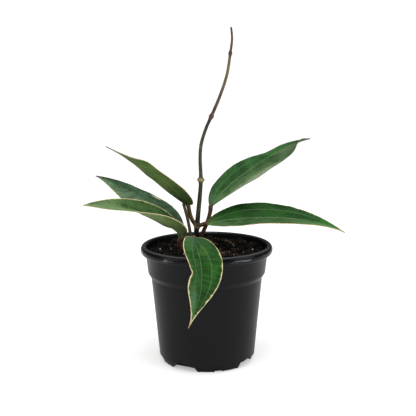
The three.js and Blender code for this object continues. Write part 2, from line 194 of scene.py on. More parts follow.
# Leaf blades, with heights and reaches of their grooves, keel and waves
BLADE_ROWS = 150
BLADE_COLUMNS = 56
BLADE_THICKNESS = 0.8
MARGIN_THINNING = 0.4
MARGIN_UNEVENNESS = 0.014
BLADE_TIP_HALF = 0.3
BLADE_BASE_HALF = 1.7
BLADE_BASE_REACH = 0.02
KEEL_DEPTH = 0.5
KEEL_HALF = 0.12
MIDRIB_GROOVE = 0.35
MIDRIB_REACH = 0.7
SIDE_VEIN_GROOVE = 0.2
SIDE_VEIN_REACH = 0.8
SIDE_VEIN_AT = 0.56
QUILT_HEIGHT = 0.22
QUILTS_PER_MM = (0.16, 0.24)
WAVE_HEIGHT = 0.7
WAVES_PER_MM = 0.055
ROW_CROWDING = 0.6
SHADE_BLEND = 0.1

# Leaves: the midrib is a Bezier curve from base to tip, and face is where the upper side looks.
# Half is the greatest half width, form the outline's fullness at base and tip, and fold and curl
# are degrees. Values in two halves are for the left and the right one. A bump is its side, its
# middle and reach as shares of the length, and how far it lifts and pinches the margin. Cream is
# the pale margin's width from base to tip. Deep and green are the two greens, set for each half,
# so that they also paint the light and shade that fall unevenly on the two halves. Shade is
# painted light and shade: the brightness of each half from base to tip, on both sides of the
# blade. Slant is how far the side veins lean towards the tip, veins how pale the midrib and the
# long side veins are, and rise how soon those part from the midrib. An oval of colour and sheen
# is an oval of another colour, some the leaf's own and some painted sheen and glare: its middle
# along and across, its reach both ways, its strength and colour. Colours are display colours.
USUAL_LEAF = {
    "curl": 0, "bumps": (), "colour_and_sheen_patches": (), "rise": 0.09, "base_reach": 0.14,
    "under": (96, 120, 72), "under_deep": (58, 84, 44),
}
LEAF_TABLES = {
    "upper_left": {
        "stalk": ((-8.4, 4.6, 119.5), (-14.3, 2.6, 125.5), (-14.3, 1, 130), (-16, 0, 138.6)),
        "midrib": ((-16, 0, 139), (-36, -10, 169.8), (-62.5, -28, 183.2), (-82.5, -34, 194.3)),
        "half": (14.7, 13.7),
        "form": ((0.34, 1.31), (0.7, 1.24)),
        "face": ((0.3, 0.55, 0.9), (0.3, 0.5, 0.9), (0.4, 0.2, 1)),
        "fold": ((-2, 0, 2), (9, 2, 4)),
        "curl": 13,
        "bumps": (("left", 0.62, 0.12, 2.8, 0.02),),
        "cream": ((0.2, 0.3, 0.2, 0.1, 0), (0, 0)),
        "deep": ((38, 69, 34), (38, 69, 34)),
        "green": ((66, 104, 56), (66, 104, 56)),
        "shade": ((1.4, 1.1, 1.5, 1.15, 0.9), (0.5, 1.05, 1.45, 0.72, 0.6)),
        "under": (85, 108, 44),
        "under_deep": (59, 84, 28),
        "base": (36, 52, 22),
        "tail": (92, 92, 74),
        "veins": (0.5, 0.3),
        "slant": 0.2,
        "colour_and_sheen_patches": ((0.05, 0, 0.25, 2, 0.8, (42, 62, 26)),),
    },
    "middle_left": {
        "stalk": ((-15, -6, 96), (-16, 0, 103), (-19.5, 5, 110), (-20.6, 7.6, 117.6)),
        "midrib": ((-21, 8, 118), (-36.3, 18, 127.2), (-74.3, 44, 149.1), (-104.6, 58, 157.8)),
        "half": (17.2, 15.8),
        "form": ((0.6, 1.24), (0.81, 1.1)),
        "face": ((-0.1, -0.36, 1), (-0.1, -0.36, 1)),
        "fold": ((-3, -3, 4), (12, -27, -1.4)),
        "bumps": (("left", 0.22, 0.14, -0.2, 0.23),),
        "cream": ((0, 0, 0, 0.3, 0), (0, 0.3, 0.3, 0, 0)),
        "deep": ((40, 63, 44), (38, 63, 41)),
        "green": ((90, 113, 85), (79, 109, 78)),
        "shade": ((0.8, 0.8, 1, 1.5, 1.8), (0.65, 0.72, 0.88, 1.15, 0.5)),
        "under": (92, 116, 74),
        "under_deep": (56, 80, 46),
        "base": (46, 68, 46),
        "tail": (96, 84, 88),
        "veins": (0.45, 0.2),
        "slant": 1.1,
        "colour_and_sheen_patches": ((0.42, -0.9, 0.07, 0.14, 0.8, (206, 212, 176)),),
    },
    "lower_left": {
        "stalk": ((-15, -6, 96), (-20, -9, 100), (-26, -13.5, 107), (-22.2, -14.9, 112.6)),
        "midrib": ((-22, -15, 113), (-19, -20, 123.2), (-72.9, -34, 151.6), (-101.3, -45, 146.8)),
        "half": (19.4, 14.1),
        "form": ((0.71, 1.05), (0.74, 1.23)),
        "face": ((-0.3, 0, 1), (-0.1, -0.55, 1)),
        "fold": ((20, 37, 14, -2), (60, 34, 16, 0)),
        "cream": ((0.7, 0.8, 0.6, 0.1, 0.1), (0.2, 0.7, 0.8, 0.6, 0.1)),
        "deep": ((59, 84, 45), (34, 63, 27)),
        "green": ((104, 130, 83), (72, 104, 54)),
        "shade": ((2.5, 1.75, 2.3, 1.3, 1.05), (0.9, 0.9, 1.05, 1.25, 0.45)),
        "under": (96, 114, 68),
        "under_deep": (73, 92, 49),
        "base": (48, 62, 28),
        "tail": (150, 158, 104),
        "veins": (0.35, 0.12),
        "slant": 0.8,
        "colour_and_sheen_patches": ((0.9, 0, 0.3, 2, 0.7, (110, 136, 90)),),
    },
    "right": {
        "stalk": ((-8.4, 4.6, 119.5), (-5, 3, 120), (-3, 0.5, 122), (-0.4, -1.7, 122.9)),
        "midrib": ((0, -2, 123), (24.6, -5, 128.6), (84.2, -10, 135.6), (120.1, -14, 116.7)),
        "half": (18.8, 19.9),
        "form": ((0.7, 1.33), (0.72, 1.22)),
        "face": ((0, -0.38, 1), (0, -0.38, 1)),
        "fold": ((14, 13), (10, 17)),
        "bumps": (("left", 0.7, 0.1, 0.5, 0.03), ("right", 0.43, 0.15, 1, 0.06)),
        "cream": ((0, 0, 0.1, 0.5, 0.2), (0, 0.2, 0.9, 0.6, 0.4)),
        "deep": ((16, 60, 11), (40, 69, 36)),
        "green": ((36, 94, 25), (72, 104, 64)),
        "shade": ((0.85, 0.7, 0.72, 1.25, 1.4), (1.45, 1.2, 1.3, 1.5, 1.9)),
        "base": (78, 106, 54),
        "tail": (176, 180, 130),
        "veins": (0.85, 0.72),
        "slant": 0.8,
    },
    "front": {
        "stalk": ((-11.5, 13.8, 96.5), (-7, 0, 100), (-9, -20, 113), (-11, -37.6, 118)),
        "midrib": ((-11, -38, 118), (-10.6, -62, 117.9), (7.4, -74, 95.2), (-14.8, -76, 51.3)),
        "half": (17.3, 21.7),
        "form": ((1.64, 2.49), (1.42, 2.07)),
        "face": ((0.3, -0.6, 1), (0.4, -1, 0.2), (0.4, -1, 0.2)),
        "fold": ((48, 33, -2), (26, 40, 8)),
        "bumps": (("right", 0.45, 0.139, 0.8, 0.35), ("right", 0.48, 0.03, 0.6, 0.13)),
        "cream": ((0, 0.4, 0.85, 1, 0.8), (0.15, 0.7, 0.9, 0.8, 0.65)),
        "deep": ((17, 60, 12), (25, 61, 21)),
        "green": ((42, 98, 29), (51, 96, 41)),
        "shade": ((1.02, 0.9, 1.08, 1.05, 0.25), (1.4, 1.1, 1, 1.22, 1.7)),
        "base": (74, 101, 78),
        "base_reach": 0.3,
        "tail": (160, 122, 104),
        "veins": (0.72, 0.58),
        "slant": 0.3,
        "rise": 0.22,
        "colour_and_sheen_patches": (
            (0.27, 0.25, 0.07, 0.3, 0.6, (84, 116, 38)),
            # Painted sheen: a teal oval on the right half.
            (0.74, -0.55, 0.13, 0.4, 0.7, (70, 108, 74)),
        ),
    },
    "upper_right": {
        "stalk": ((-11.5, 13.8, 96.5), (-6.6, 10, 105.3), (3.6, 5, 124.7), (3.8, 1.7, 137.5)),
        "midrib": (
            (4, 2, 138), (14.7, 12, 152.5), (33.4, 24, 165.5), (76.9, 42, 192.2),
            (95.5, 50, 192.6),
        ),
        "half": (17.2, 21.4),
        "form": ((0.73, 1.31), (0.7, 0.81)),
        "face": ((-0.5, -0.5, 0.8), (-0.2, -0.38, 1)),
        "fold": ((13, -2), (12, 1)),
        "bumps": (("right", 0.89, 0.08, 4.8, 0.3), ("left", 0.65, 0.1, -2, 0.1)),
        "cream": ((0, 0), (0, 0)),
        "deep": ((23, 63, 22), (37, 69, 34)),
        "green": ((50, 98, 45), (81, 111, 68)),
        "shade": ((1.2, 1, 1.07, 1.12, 0.8), (1.7, 1.07, 1.07, 1.02, 1.3)),
        "base": (64, 96, 58),
        "base_reach": 0.2,
        "tail": (64, 50, 52),
        "veins": (0.9, 0.42),
        "slant": 1.1,
        "colour_and_sheen_patches": (
            # Painted glare: a pale oval along the right margin.
            (0.38, -1, 0.3, 0.4, 0.9, (142, 154, 124)),
            (0.8, -0.5, 0.2, 0.6, 0.6, (92, 108, 80)),
            (0.97, 0, 0.09, 2, 0.9, (58, 46, 44)),
        ),
    },
}


def completed(table):
    """A leaf's table with the usual values added and its two halves told apart by name."""
    leaf = {**USUAL_LEAF, **table}
    for key in ("half", "form", "fold", "cream", "deep", "green", "shade"):
        leaf[key] = dict(zip(("left", "right"), leaf[key]))
    return leaf


LEAVES = {name: completed(table) for name, table in LEAF_TABLES.items()}

# Studio, in metres and watts: a softbox is its place, its size, its power and its tint
FLOOR_RADIUS = 6
SKY_SEEN = 1.1
LAMP_AIM = (0, 0, 0.13)
SOFTBOXES = {
    "overhead_softbox": ((0.05, -0.25, 1.25), 0.55, 5, (1, 1, 1)),
    "left_softbox": ((-1.1, -0.5, 0.7), 0.8, 3.1, (1, 0.97, 0.93)),
    "right_softbox": ((1.1, -0.4, 0.7), 0.8, 3.5, (0.93, 0.97, 1)),
}


def colour_setting(name, description, *default):
    return FloatVectorProperty(
        name=name, description=description, default=paint(*default), min=0, max=1, subtype="COLOR"
    )


def length_setting(name, description, default, least=0):
    """A length given in millimetres."""
    return FloatProperty(
        name=name, description=description, default=default * MM, min=least * MM, unit="LENGTH"
    )


def share_setting(name, description, default, least=0, most=1):
    return FloatProperty(
        name=name, description=description, default=default, min=least, max=most, subtype="FACTOR"
    )


def angle_setting(name, description, default):
    """An angle given in degrees."""
    return FloatProperty(
        name=name, description=description, default=math.radians(default), subtype="ANGLE"
    )


def number_setting(name, description, default, kind=FloatProperty, least=0):
    """A plain number, or a count if its kind is whole numbers."""
    return kind(name=name, description=description, default=default, min=least)


class PotSettings(bpy.types.PropertyGroup):
    """Sizes and finish of the pot."""

    lip_radius: length_setting("Lip radius", "Radius over the outside of the rolled lip", 58.3, 40)
    plastic: colour_setting("Plastic", "Colour of the moulded plastic", 15, 16, 17)
    gloss: share_setting("Roughness", "Roughness of the clean plastic", 0.32)


class SoilSettings(bpy.types.PropertyGroup):
    """Level, colours and litter of the potting mix."""

    level: length_setting("Level", "Mean height of the potting mix above the table", 99, 80)
    peat: colour_setting("Peat", "Colour of the moist peat", 24, 17, 13)
    bark: colour_setting("Bark", "Colour of the paler bark chips", 114, 88, 60)
    chip_count: number_setting("Chips", "Number of large bark chips", 28, IntProperty)
    crumb_count: number_setting("Crumbs", "Number of small bark crumbs", 420, IntProperty)
    fibre_count: number_setting("Fibres", "Number of loose peat fibres", 90, IntProperty)
    grain_count: number_setting("Grains", "Number of white perlite grains", 34, IntProperty)


class VineSettings(bpy.types.PropertyGroup):
    """Thickness and colours of the vines and leaf stalks."""

    thickness: share_setting("Thickness", "Thickness against the usual one", 1, 0.3, 3)
    stalk_radius: length_setting("Stalk radius", "Radius of the leaf stalks", 1.95, 0.5)
    scar: colour_setting("Joint", "Colour of the leaf scars on old wood", 172, 152, 108)
    stalk_brown: colour_setting("Stalk", "Colour of the leaf stalks", 88, 58, 42)


class BladeSettings(bpy.types.PropertyGroup):
    """Thickness, gloss and shared colours of the leaf blades."""

    thickness: length_setting("Thickness", "Thickness away from the midrib", BLADE_THICKNESS, 0.4)
    roughness: share_setting("Roughness", "Roughness of the upper side", 0.4)
    cream: colour_setting("Cream", "Colour of the variegated margin", 226, 214, 168)
    vein: colour_setting("Veins", "Colour of the pale veins", 92, 128, 80)


class StageSettings(bpy.types.PropertyGroup):
    """Camera and light."""

    camera_distance: length_setting("Distance", "From the camera to the pot's axis", 700, 100)
    camera_height: length_setting("Height", "Height of the camera above the table", 257)
    camera_offset: length_setting("Offset", "Camera to the right of the pot's axis", 1.37, -500)
    camera_pitch: angle_setting("Pitch", "Angle by which the camera looks down", 9.785)
    camera_roll: angle_setting("Roll", "Turn of the camera about its line of sight", -0.24)
    focal_length: number_setting("Lens", "Millimetres on a 36 mm sensor", 70.01, least=10)
    sky_light: number_setting("Sky light", "Strength of the even light from all round", 0.8)
    sky_mirrored: number_setting("Mirrored sky", "Strength of the sky in reflections", 0.08)
    floor_glow: number_setting("Floor glow", "Extra brightness of the bleached floor", 0.35)


SETTINGS_GROUPS = {
    "hoya_pot": PotSettings,
    "hoya_soil": SoilSettings,
    "hoya_vine": VineSettings,
    "hoya_blade": BladeSettings,
    "hoya_stage": StageSettings,
}


# Curves


def blend(values, t):
    """Value of a Bezier curve of any number of control values, at t from 0 to 1."""
    row = list(values)
    while len(row) > 1:
        row = [a + (b - a) * t for a, b in zip(row, row[1:])]
    return row[0]


def blend_points(points, t):
    return Vector([blend([point[axis] for point in points], t) for axis in range(3)])


def between(values, t):
    """Straight-line value at t from 0 to 1 in a row of evenly spaced values."""
    place = min(max(t, 0), 1) * (len(values) - 1)
    k = min(int(place), len(values) - 2)
    return values[k] + (values[k + 1] - values[k]) * (place - k)


def bell(distance, reach):
    """Smooth bump of height 1 that has fallen to about a third at its reach."""
    return math.exp(-((distance / reach) ** 2))


def smooth_line(points):
    """Centripetal Catmull-Rom curve through the points, as a function of t from 0 to 1."""
    places = [Vector(point) for point in points]
    places = [2 * places[0] - places[1], *places, 2 * places[-1] - places[-2]]
    last = len(points) - 2

    def point_at(t):
        share = t * (last + 1)
        k = min(int(share), last)
        w = share - k
        p0, p1, p2, p3 = places[k : k + 4]
        d0, d1, d2 = [(b - a).length ** 0.5 for a, b in ((p0, p1), (p1, p2), (p2, p3))]
        start = ((p1 - p0) / d0 - (p2 - p0) / (d0 + d1) + (p2 - p1) / d1) * d1
        end = ((p2 - p1) / d1 - (p3 - p1) / (d1 + d2) + (p3 - p2) / d2) * d1
        bend = -3 * p1 + 3 * p2 - 2 * start - end
        turn = 2 * p1 - 2 * p2 + start + end
        return p1 + start * w + bend * w**2 + turn * w**3

    return point_at


class EvenCurve:
    """A curve read by share of its length."""

    def __init__(self, point_at):
        self.point_at = point_at
        points = [point_at(k / CURVE_DIVISIONS) for k in range(CURVE_DIVISIONS + 1)]
        self.reached = [0]
        for a, b in zip(points, points[1:]):
            self.reached.append(self.reached[-1] + (b - a).length)
        self.length = self.reached[-1]

    def parameter(self, share):
        target = min(max(share, 0), 1) * self.length
        k = min(max(bisect.bisect_right(self.reached, target) - 1, 0), CURVE_DIVISIONS - 1)
        step = self.reached[k + 1] - self.reached[k]
        return (k + (target - self.reached[k]) / step) / CURVE_DIVISIONS

    def point(self, share):
        return self.point_at(self.parameter(share))

    def tangent(self, share):
        t = self.parameter(share)
        low, high = max(t - 1e-4, 0), min(t + 1e-4, 1)
        return (self.point_at(high) - self.point_at(low)).normalized()


# Meshes


def new_object(name, data):
    """Puts an object with the mesh, lamp or camera in the scene."""
    thing = bpy.data.objects.new(name, data)
    bpy.context.scene.collection.objects.link(thing)
    return thing


def mesh_object(name, bm, *materials):
    """Puts an object in the scene for a bmesh, which is freed."""
    mesh = bpy.data.meshes.new(name)
    bm.to_mesh(mesh)
    bm.free()
    for material in materials:
        mesh.materials.append(material)
    return new_object(name, mesh)


def put_in_scene(name, bm, materials, nodes=()):
    """Makes a piece of a bmesh in millimetres. It rides on the root body and stands for the nodes."""
    bmesh.ops.scale(bm, vec=(MM, MM, MM), verts=bm.verts)
    piece = mesh_object(name, bm, *materials)
    piece.data.shade_smooth()
    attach(piece, "root")
    if nodes:
        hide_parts(*nodes)
    return piece


def spin_outline(outline, steps):
    """Closed solid of revolution about Z from an outline of radius and height."""
    bm = bmesh.new()
    verts = [bm.verts.new((radius, 0, height)) for radius, height in outline]
    edges = [bm.edges.new(pair) for pair in zip(verts, verts[1:])]
    full_turn = {"cent": (0, 0, 0), "axis": (0, 0, 1), "angle": 2 * math.pi}
    bmesh.ops.spin(bm, geom=verts + edges, steps=steps, use_merge=True, **full_turn)
    bmesh.ops.remove_doubles(bm, verts=bm.verts, dist=1e-4)
    bmesh.ops.recalc_face_normals(bm, faces=bm.faces)
    return bm


def edge_block(corners, depth, turn, margin):
    """A block that reaches outwards through the pot's edge, its corners moved out by a margin."""
    outline = [(x + math.copysign(margin, x), z + margin if z > 0 else 0) for x, z in corners]
    outline += [(outline[-1][0], -CUT_BEYOND / 2), (outline[0][0], -CUT_BEYOND / 2)]
    bm = bmesh.new()
    inner = depth + margin - BASE_RADIUS
    face = bm.faces.new([bm.verts.new((x, inner, z)) for x, z in outline])
    made = bmesh.ops.extrude_face_region(bm, geom=[face])["geom"]
    far = [part for part in made if isinstance(part, bmesh.types.BMVert)]
    bmesh.ops.translate(bm, vec=(0, -BASE_RADIUS - CUT_BEYOND - inner, 0), verts=far)
    bmesh.ops.recalc_face_normals(bm, faces=bm.faces)
    spin = Matrix.Rotation(math.radians(turn), 3, "Z")
    bmesh.ops.rotate(bm, cent=(0, 0, 0), matrix=spin, verts=bm.verts)
    return bm


def edge_openings(margin):
    """The arches and the feet's nicks, or, with a margin, the humps that roof them inside."""
    blocks = []
    for turn in FOOT_TURNS:
        blocks.append(edge_block(ARCH_CORNERS, ARCH_DEPTH, ARCH_TURN + turn, margin))
        blocks.append(edge_block(NICK_CORNERS, NICK_DEPTH, FOOT_TURN + turn, margin))
    return blocks


def drain_holes():
    holes = []
    size = {"radius1": DRAIN_RADIUS, "radius2": DRAIN_RADIUS, "depth": 4 * BASE_THICKNESS}
    for turn in FOOT_TURNS:
        place = Matrix.Rotation(math.radians(FOOT_TURN + turn), 4, "Z")
        place = place @ Matrix.Translation((0, -DRAIN_CIRCLE, 0))
        holes.append(bmesh.new())
        bmesh.ops.create_cone(
            holes[-1], cap_ends=True, segments=DRAIN_SIDES, matrix=place, **size
        )
    return holes


def combined(base, others, operation):
    """Bmesh that is left when the others are joined with the base, cut from it or meet it."""
    objects = [mesh_object("boolean_part", bm) for bm in (base, *others)]
    for other in objects[1:]:
        cut = objects[0].modifiers.new("cut", "BOOLEAN")
        cut.operation = operation
        cut.solver = "EXACT"
        cut.object = other
    bpy.context.view_layer.update()
    evaluated = objects[0].evaluated_get(bpy.context.evaluated_depsgraph_get())
    result = bmesh.new()
    result.from_mesh(evaluated.to_mesh())
    evaluated.to_mesh_clear()
    for part in objects:
        mesh = part.data
        bpy.data.objects.remove(part)
        bpy.data.meshes.remove(mesh)
    bmesh.ops.remove_doubles(result, verts=result.verts, dist=1e-4)
    return result


def tube(point_at, radius_at, steps, measures=None):
    """Closed tube along a curve, built ring by ring.

    radius_at gets the centre, the share of the length and the bearing round the tube.
    Each point keeps a straightened place, and measures give it further attributes.
    """
    curve = EvenCurve(point_at)
    bm = bmesh.new()
    turn = bm.verts.layers.float.new("turn")
    straight = bm.verts.layers.float_vector.new("straight")
    layers = {name: bm.verts.layers.float.new(name) for name in measures or {}}
    ring = bmesh.ops.create_circle(bm, segments=STEM_SIDES, radius=1, cap_ends=True)["verts"]
    for vert in ring:
        vert[turn] = math.atan2(vert.co.y, vert.co.x)
    ring_edges = list({edge for vert in ring for edge in vert.link_edges})
    side = curve.tangent(0).cross(Vector((1, 0, 0))).normalized()
    for k in range(steps + 1):
        share = k / steps
        centre = curve.point(share)
        tangent = curve.tangent(share)
        side = (side - side.dot(tangent) * tangent).normalized()
        other = tangent.cross(side)
        for vert in ring:
            cosine, sine = math.cos(vert[turn]), math.sin(vert[turn])
            around = side * cosine + other * sine
            bearing = math.atan2(around.y, around.x)
            radius = radius_at(centre, share, bearing)
            vert.co = centre + around * radius
            vert[straight] = (radius * cosine, radius * sine, share * curve.length)
            for name, layer in layers.items():
                vert[layer] = measures[name](centre, share, bearing)
        if k < steps:
            grown = bmesh.ops.extrude_edge_only(bm, edges=ring_edges)["geom"]
            ring = [part for part in grown if isinstance(part, bmesh.types.BMVert)]
            edges = [part for part in grown if isinstance(part, bmesh.types.BMEdge)]
            ring_edges = [edge for edge in edges if all(vert in ring for vert in edge.verts)]
    bmesh.ops.edgeloop_fill(bm, edges=ring_edges)
    bmesh.ops.recalc_face_normals(bm, faces=bm.faces)
    return bm


# Shapes of the leaves and stems


def outline_share(t, form):
    """Share of the full width at a share t of the blade's length."""
    base_form, tip_form = form
    widest = base_form / (base_form + tip_form)
    return (t / widest) ** base_form * ((1 - t) / (1 - widest)) ** tip_form


def blade_half(leaf, t, side):
    """Half width of the blade on one side, with the bumps' pinch and a slightly uneven margin."""
    base = (BLADE_BASE_HALF - BLADE_TIP_HALF) * math.exp(-t / BLADE_BASE_REACH)
    half = leaf["half"][side] * outline_share(t, leaf["form"][side]) + BLADE_TIP_HALF + base
    for bump_side, at, reach, _, pinch in leaf["bumps"]:
        if bump_side == side:
            half *= 1 - pinch * bell(t - at, reach)
    seed = leaf["half"][side] + (50 if side == "left" else 0)
    return half * (1 + MARGIN_UNEVENNESS * noise.noise(Vector((t * 22, seed, 0.5))))


def surface_offset(leaf, side, t, across, half):
    """Sideways reach and lift of the upper surface on one side, before its relief."""
    lift = 0
    for bump_side, at, reach, height, _ in leaf["bumps"]:
        if bump_side == side:
            lift += height * bell(t - at, reach) * across**2
    fold = math.radians(blend(leaf["fold"][side], t))
    curl = math.radians(leaf["curl"])
    if curl == 0:
        return half * across * math.cos(fold), lift + half * across * math.sin(fold)
    reach = half / curl * (math.sin(fold) - math.sin(fold - curl * across))
    lift += half / curl * (math.cos(fold - curl * across) - math.cos(fold))
    return reach, lift


def leaf_relief(seed, t, v, x, y, side_gap):
    """Height of grooves, quilting and margin waves above the blade's plain surface."""
    fade = math.sin(math.pi * min(1, t + 0.06))
    relief = -MIDRIB_GROOVE * fade * bell(y, MIDRIB_REACH)
    relief -= SIDE_VEIN_GROOVE * fade * bell(side_gap, SIDE_VEIN_REACH)
    wave = noise.noise(Vector((x * WAVES_PER_MM, 3 * math.copysign(1, v), seed)))
    quilting = noise.noise(Vector((x * QUILTS_PER_MM[0], y * QUILTS_PER_MM[1], seed)))
    return relief + fade * (QUILT_HEIGHT * quilting + WAVE_HEIGHT * v * v * wave)


def blade_depth(t, across):
    """Thickness: thin towards the margins, with a keel under the midrib that fades to the tip."""
    keel = KEEL_DEPTH * (1 - t) ** 1.5 * max(0, 1 - across / KEEL_HALF)
    return BLADE_THICKNESS - MARGIN_THINNING * across**8 + keel


def blade_mesh(leaf, seed):
    """Upper surface of a blade as a grid, with its pattern coordinates and thickness."""
    curve = EvenCurve(lambda t: blend_points(leaf["midrib"], t))
    bm = bmesh.new()
    names = ("along", "edge", "side_vein", "cream", "shade", "across")
    layers = {name: bm.verts.layers.float.new(name) for name in names}
    flat = bm.verts.layers.float_vector.new("flat")
    deform = bm.verts.layers.deform.new()
    bmesh.ops.create_grid(bm, x_segments=BLADE_ROWS, y_segments=BLADE_COLUMNS, size=1)
    rows = {}
    for vert in bm.verts:
        rows.setdefault(round(vert.co.x, 5), []).append(vert)
    for place, verts in rows.items():
        share = (place + 1) / 2
        eased = 0.5 - 0.5 * math.cos(math.pi * share)
        t = share + (eased - share) * ROW_CROWDING
        centre = curve.point(t)
        tangent = curve.tangent(t)
        normal = blend_points(leaf["face"], t)
        normal = (normal - normal.dot(tangent) * tangent).normalized()
        left = normal.cross(tangent)
        halves = {side: blade_half(leaf, t, side) for side in ("left", "right")}
        # Painted light and shade: each half's brightness from base to tip, blended across the midrib.
        shades = [between(leaf["shade"][side], t) for side in ("right", "left")]
        parting = SIDE_VEIN_AT * (1 - math.exp(-t / leaf["rise"]))
        for vert in verts:
            v = vert.co.y
            side = "right" if v < 0 else "left"
            half = halves[side]
            x, y = t * curve.length, v * half
            side_gap = (abs(v) - parting) * half
            reach, lift = surface_offset(leaf, side, t, abs(v), half)
            relief = leaf_relief(seed, t, v, x, y, side_gap)
            vert.co = centre + left * math.copysign(reach, v) + normal * (lift + relief)
            vert[flat] = (x, y, 100 * seed)
            readings = {
                "along": t,
                "across": v,
                "edge": (1 - abs(v)) * half,
                "side_vein": side_gap,
                "cream": between(leaf["cream"][side], t),
                "shade": between(shades, 0.5 + 0.5 * math.tanh(v / SHADE_BLEND)),
            }
            for name, reading in readings.items():
                vert[layers[name]] = reading
            vert[deform][0] = blade_depth(t, abs(v)) / (BLADE_THICKNESS + KEEL_DEPTH)
    return bm


def round_tip(share, sharpness):
    """Share of the radius that a stem keeps as it rounds off at its end."""
    return min(1, math.sqrt(max(0.02, (1 - share) * sharpness)))


def vine_radius(vine, thickness):
    """Tapering radius with a swelling and two leaf scars at each joint, and a round tip."""

    def radius_at(centre, share, bearing):
        radius = between(vine["radii"], share)
        for height, swell, reach, turn in vine["joints"]:
            rise = centre.z - height
            radius += swell * (JOINT_SWELL * bell(rise, reach) + RING_SWELL * bell(rise, RING_REACH))
            for scar in (0, math.pi):
                swing = max(0, math.cos(bearing - math.radians(turn) - scar))
                radius += swell * SCAR_SWELL * swing**4 * bell(rise - SCAR_RISE, SCAR_REACH)
        uneven = STEM_UNEVENNESS * noise.noise(Vector((bearing, centre.z * 0.2, 3)))
        return radius * thickness * (1 + uneven) * round_tip(share, VINE_TIP_SHARPNESS)

    return radius_at


def joint_marks(joints):
    """Attributes that colour the joints of a vine and their side buds."""

    def joint(centre, share, bearing):
        return min(1, 0.9 * sum(bell(centre.z - height, 1.6) for height, *_ in joints))

    def bud(centre, share, bearing):
        strength = 0
        for height, _, _, turn in joints:
            swing = max(0, math.cos(bearing - math.radians(turn) - math.pi))
            strength += swing**6 * bell(centre.z - height - 1.2, 0.9)
        return min(1, strength)

    return {"joint": joint, "bud": bud}


def stalk_radius(radius):
    """Radius of a leaf stalk: swollen at its foot, a little wider under the blade."""

    def radius_at(centre, share, bearing):
        ends = FOOT_SWELL * bell(share, FOOT_REACH) + HEAD_SWELL * bell(1 - share, HEAD_REACH)
        uneven = STEM_UNEVENNESS * noise.noise(Vector((bearing, share * 9, 4)))
        return radius * (STALK_WAIST + ends + uneven) * round_tip(share, STALK_TIP_SHARPNESS)

    return radius_at


def stalk_line(leaf):
    """Line of a leaf stalk, which runs on a little way under the foot of its blade."""
    points = [blend_points(leaf["stalk"], k / STALK_READINGS) for k in range(STALK_READINGS + 1)]
    foot, ahead = [blend_points(leaf["midrib"], t) for t in (0, 0.02)]
    under = blend_points(leaf["face"], 0).normalized() * -STALK_SINK
    points.append(foot + (ahead - foot).normalized() * STALK_OVERLAP + under)
    return smooth_line(points)


# Potting mix


def soil_height(x, y, level):
    hummocks = math.sin(0.21 * x + 1.1) * math.cos(0.17 * y - 0.4)
    lumps = math.sin(0.62 * x - 0.47 * y + 0.7) + math.cos(0.39 * x + 0.81 * y)
    return level + HUMMOCK_HEIGHT * hummocks + LUMP_HEIGHT * lumps


def crumbled_height(x, y, level):
    """Soil height with crumbs and cracks."""
    crumbs = noise.turbulence(Vector((x * 0.32, y * 0.32, 2)), 4, False)
    return soil_height(x, y, level) + CRUMBLE_HEIGHT * (crumbs - 0.3)


def repeatable_draws(seed):
    """Random numbers from 0 to 1 that place the chips where the solids have them."""
    state = seed
    while True:
        state = (state * 1664525 + 1013904223) % 4294967296
        yield state / 4294967296


def chip_places(count, level):
    """Matrices and sizes of the large bark chips."""
    draws = repeatable_draws(CHIP_SEED)
    stems = [vine["line"][1] for vine in VINES]
    places = []
    while len(places) < count:
        radius = CHIP_REACH * math.sqrt(next(draws))
        turn = 2 * math.pi * next(draws)
        x, y = radius * math.cos(turn), radius * math.sin(turn)
        size = [least + spread * next(draws) for least, spread in zip(CHIP_LEAST, CHIP_SPREAD)]
        tilt = [CHIP_TILT * (2 * next(draws) - 1) for _ in range(2)]
        heading = 2 * math.pi * next(draws)
        if all(math.hypot(x - stem[0], y - stem[1]) > CHIP_CLEAR for stem in stems):
            place = Matrix.Translation((x, y, soil_height(x, y, level) + 0.1 * size[2]))
            place = place @ Matrix.Rotation(heading, 4, "Z")
            place = place @ Matrix.Rotation(tilt[1], 4, "Y") @ Matrix.Rotation(tilt[0], 4, "X")
            places.append((place, size))
    return places


def random_place(draws, reach, level, sink):
    """A turned and tilted place on the potting mix."""
    radius = reach * math.sqrt(draws.random())
    turn = draws.uniform(0, 2 * math.pi)
    x, y = radius * math.cos(turn), radius * math.sin(turn)
    place = Matrix.Translation((x, y, crumbled_height(x, y, level) + sink))
    place = place @ Matrix.Rotation(draws.uniform(0, 2 * math.pi), 4, "Z")
    return place @ Matrix.Rotation(draws.uniform(-LITTER_TILT, LITTER_TILT), 4, "X")


def add_chunk(bm, place, size, cuts, roughness, tone):
    """Adds a rough-edged chunk of one tone, such as a bark chip or a crumb, to the bmesh."""
    tone_layer = bm.verts.layers.float["tone"]
    before = len(bm.verts)
    verts = bmesh.ops.create_cube(bm, size=1)["verts"]
    edges = list({edge for vert in verts for edge in vert.link_edges})
    bmesh.ops.subdivide_edges(bm, edges=edges, cuts=cuts, use_grid_fill=True)
    bm.verts.ensure_lookup_table()
    start = place.translation * 0.37
    for vert in bm.verts[before:]:
        shape = vert.co.lerp(vert.co.normalized() * 0.62, 0.42)
        shape += roughness * Vector(noise.noise_vector(shape * 2.6 + start))
        vert.co = place @ Vector([s * c for s, c in zip(size, shape)])
        vert[tone_layer] = tone


# Finishes


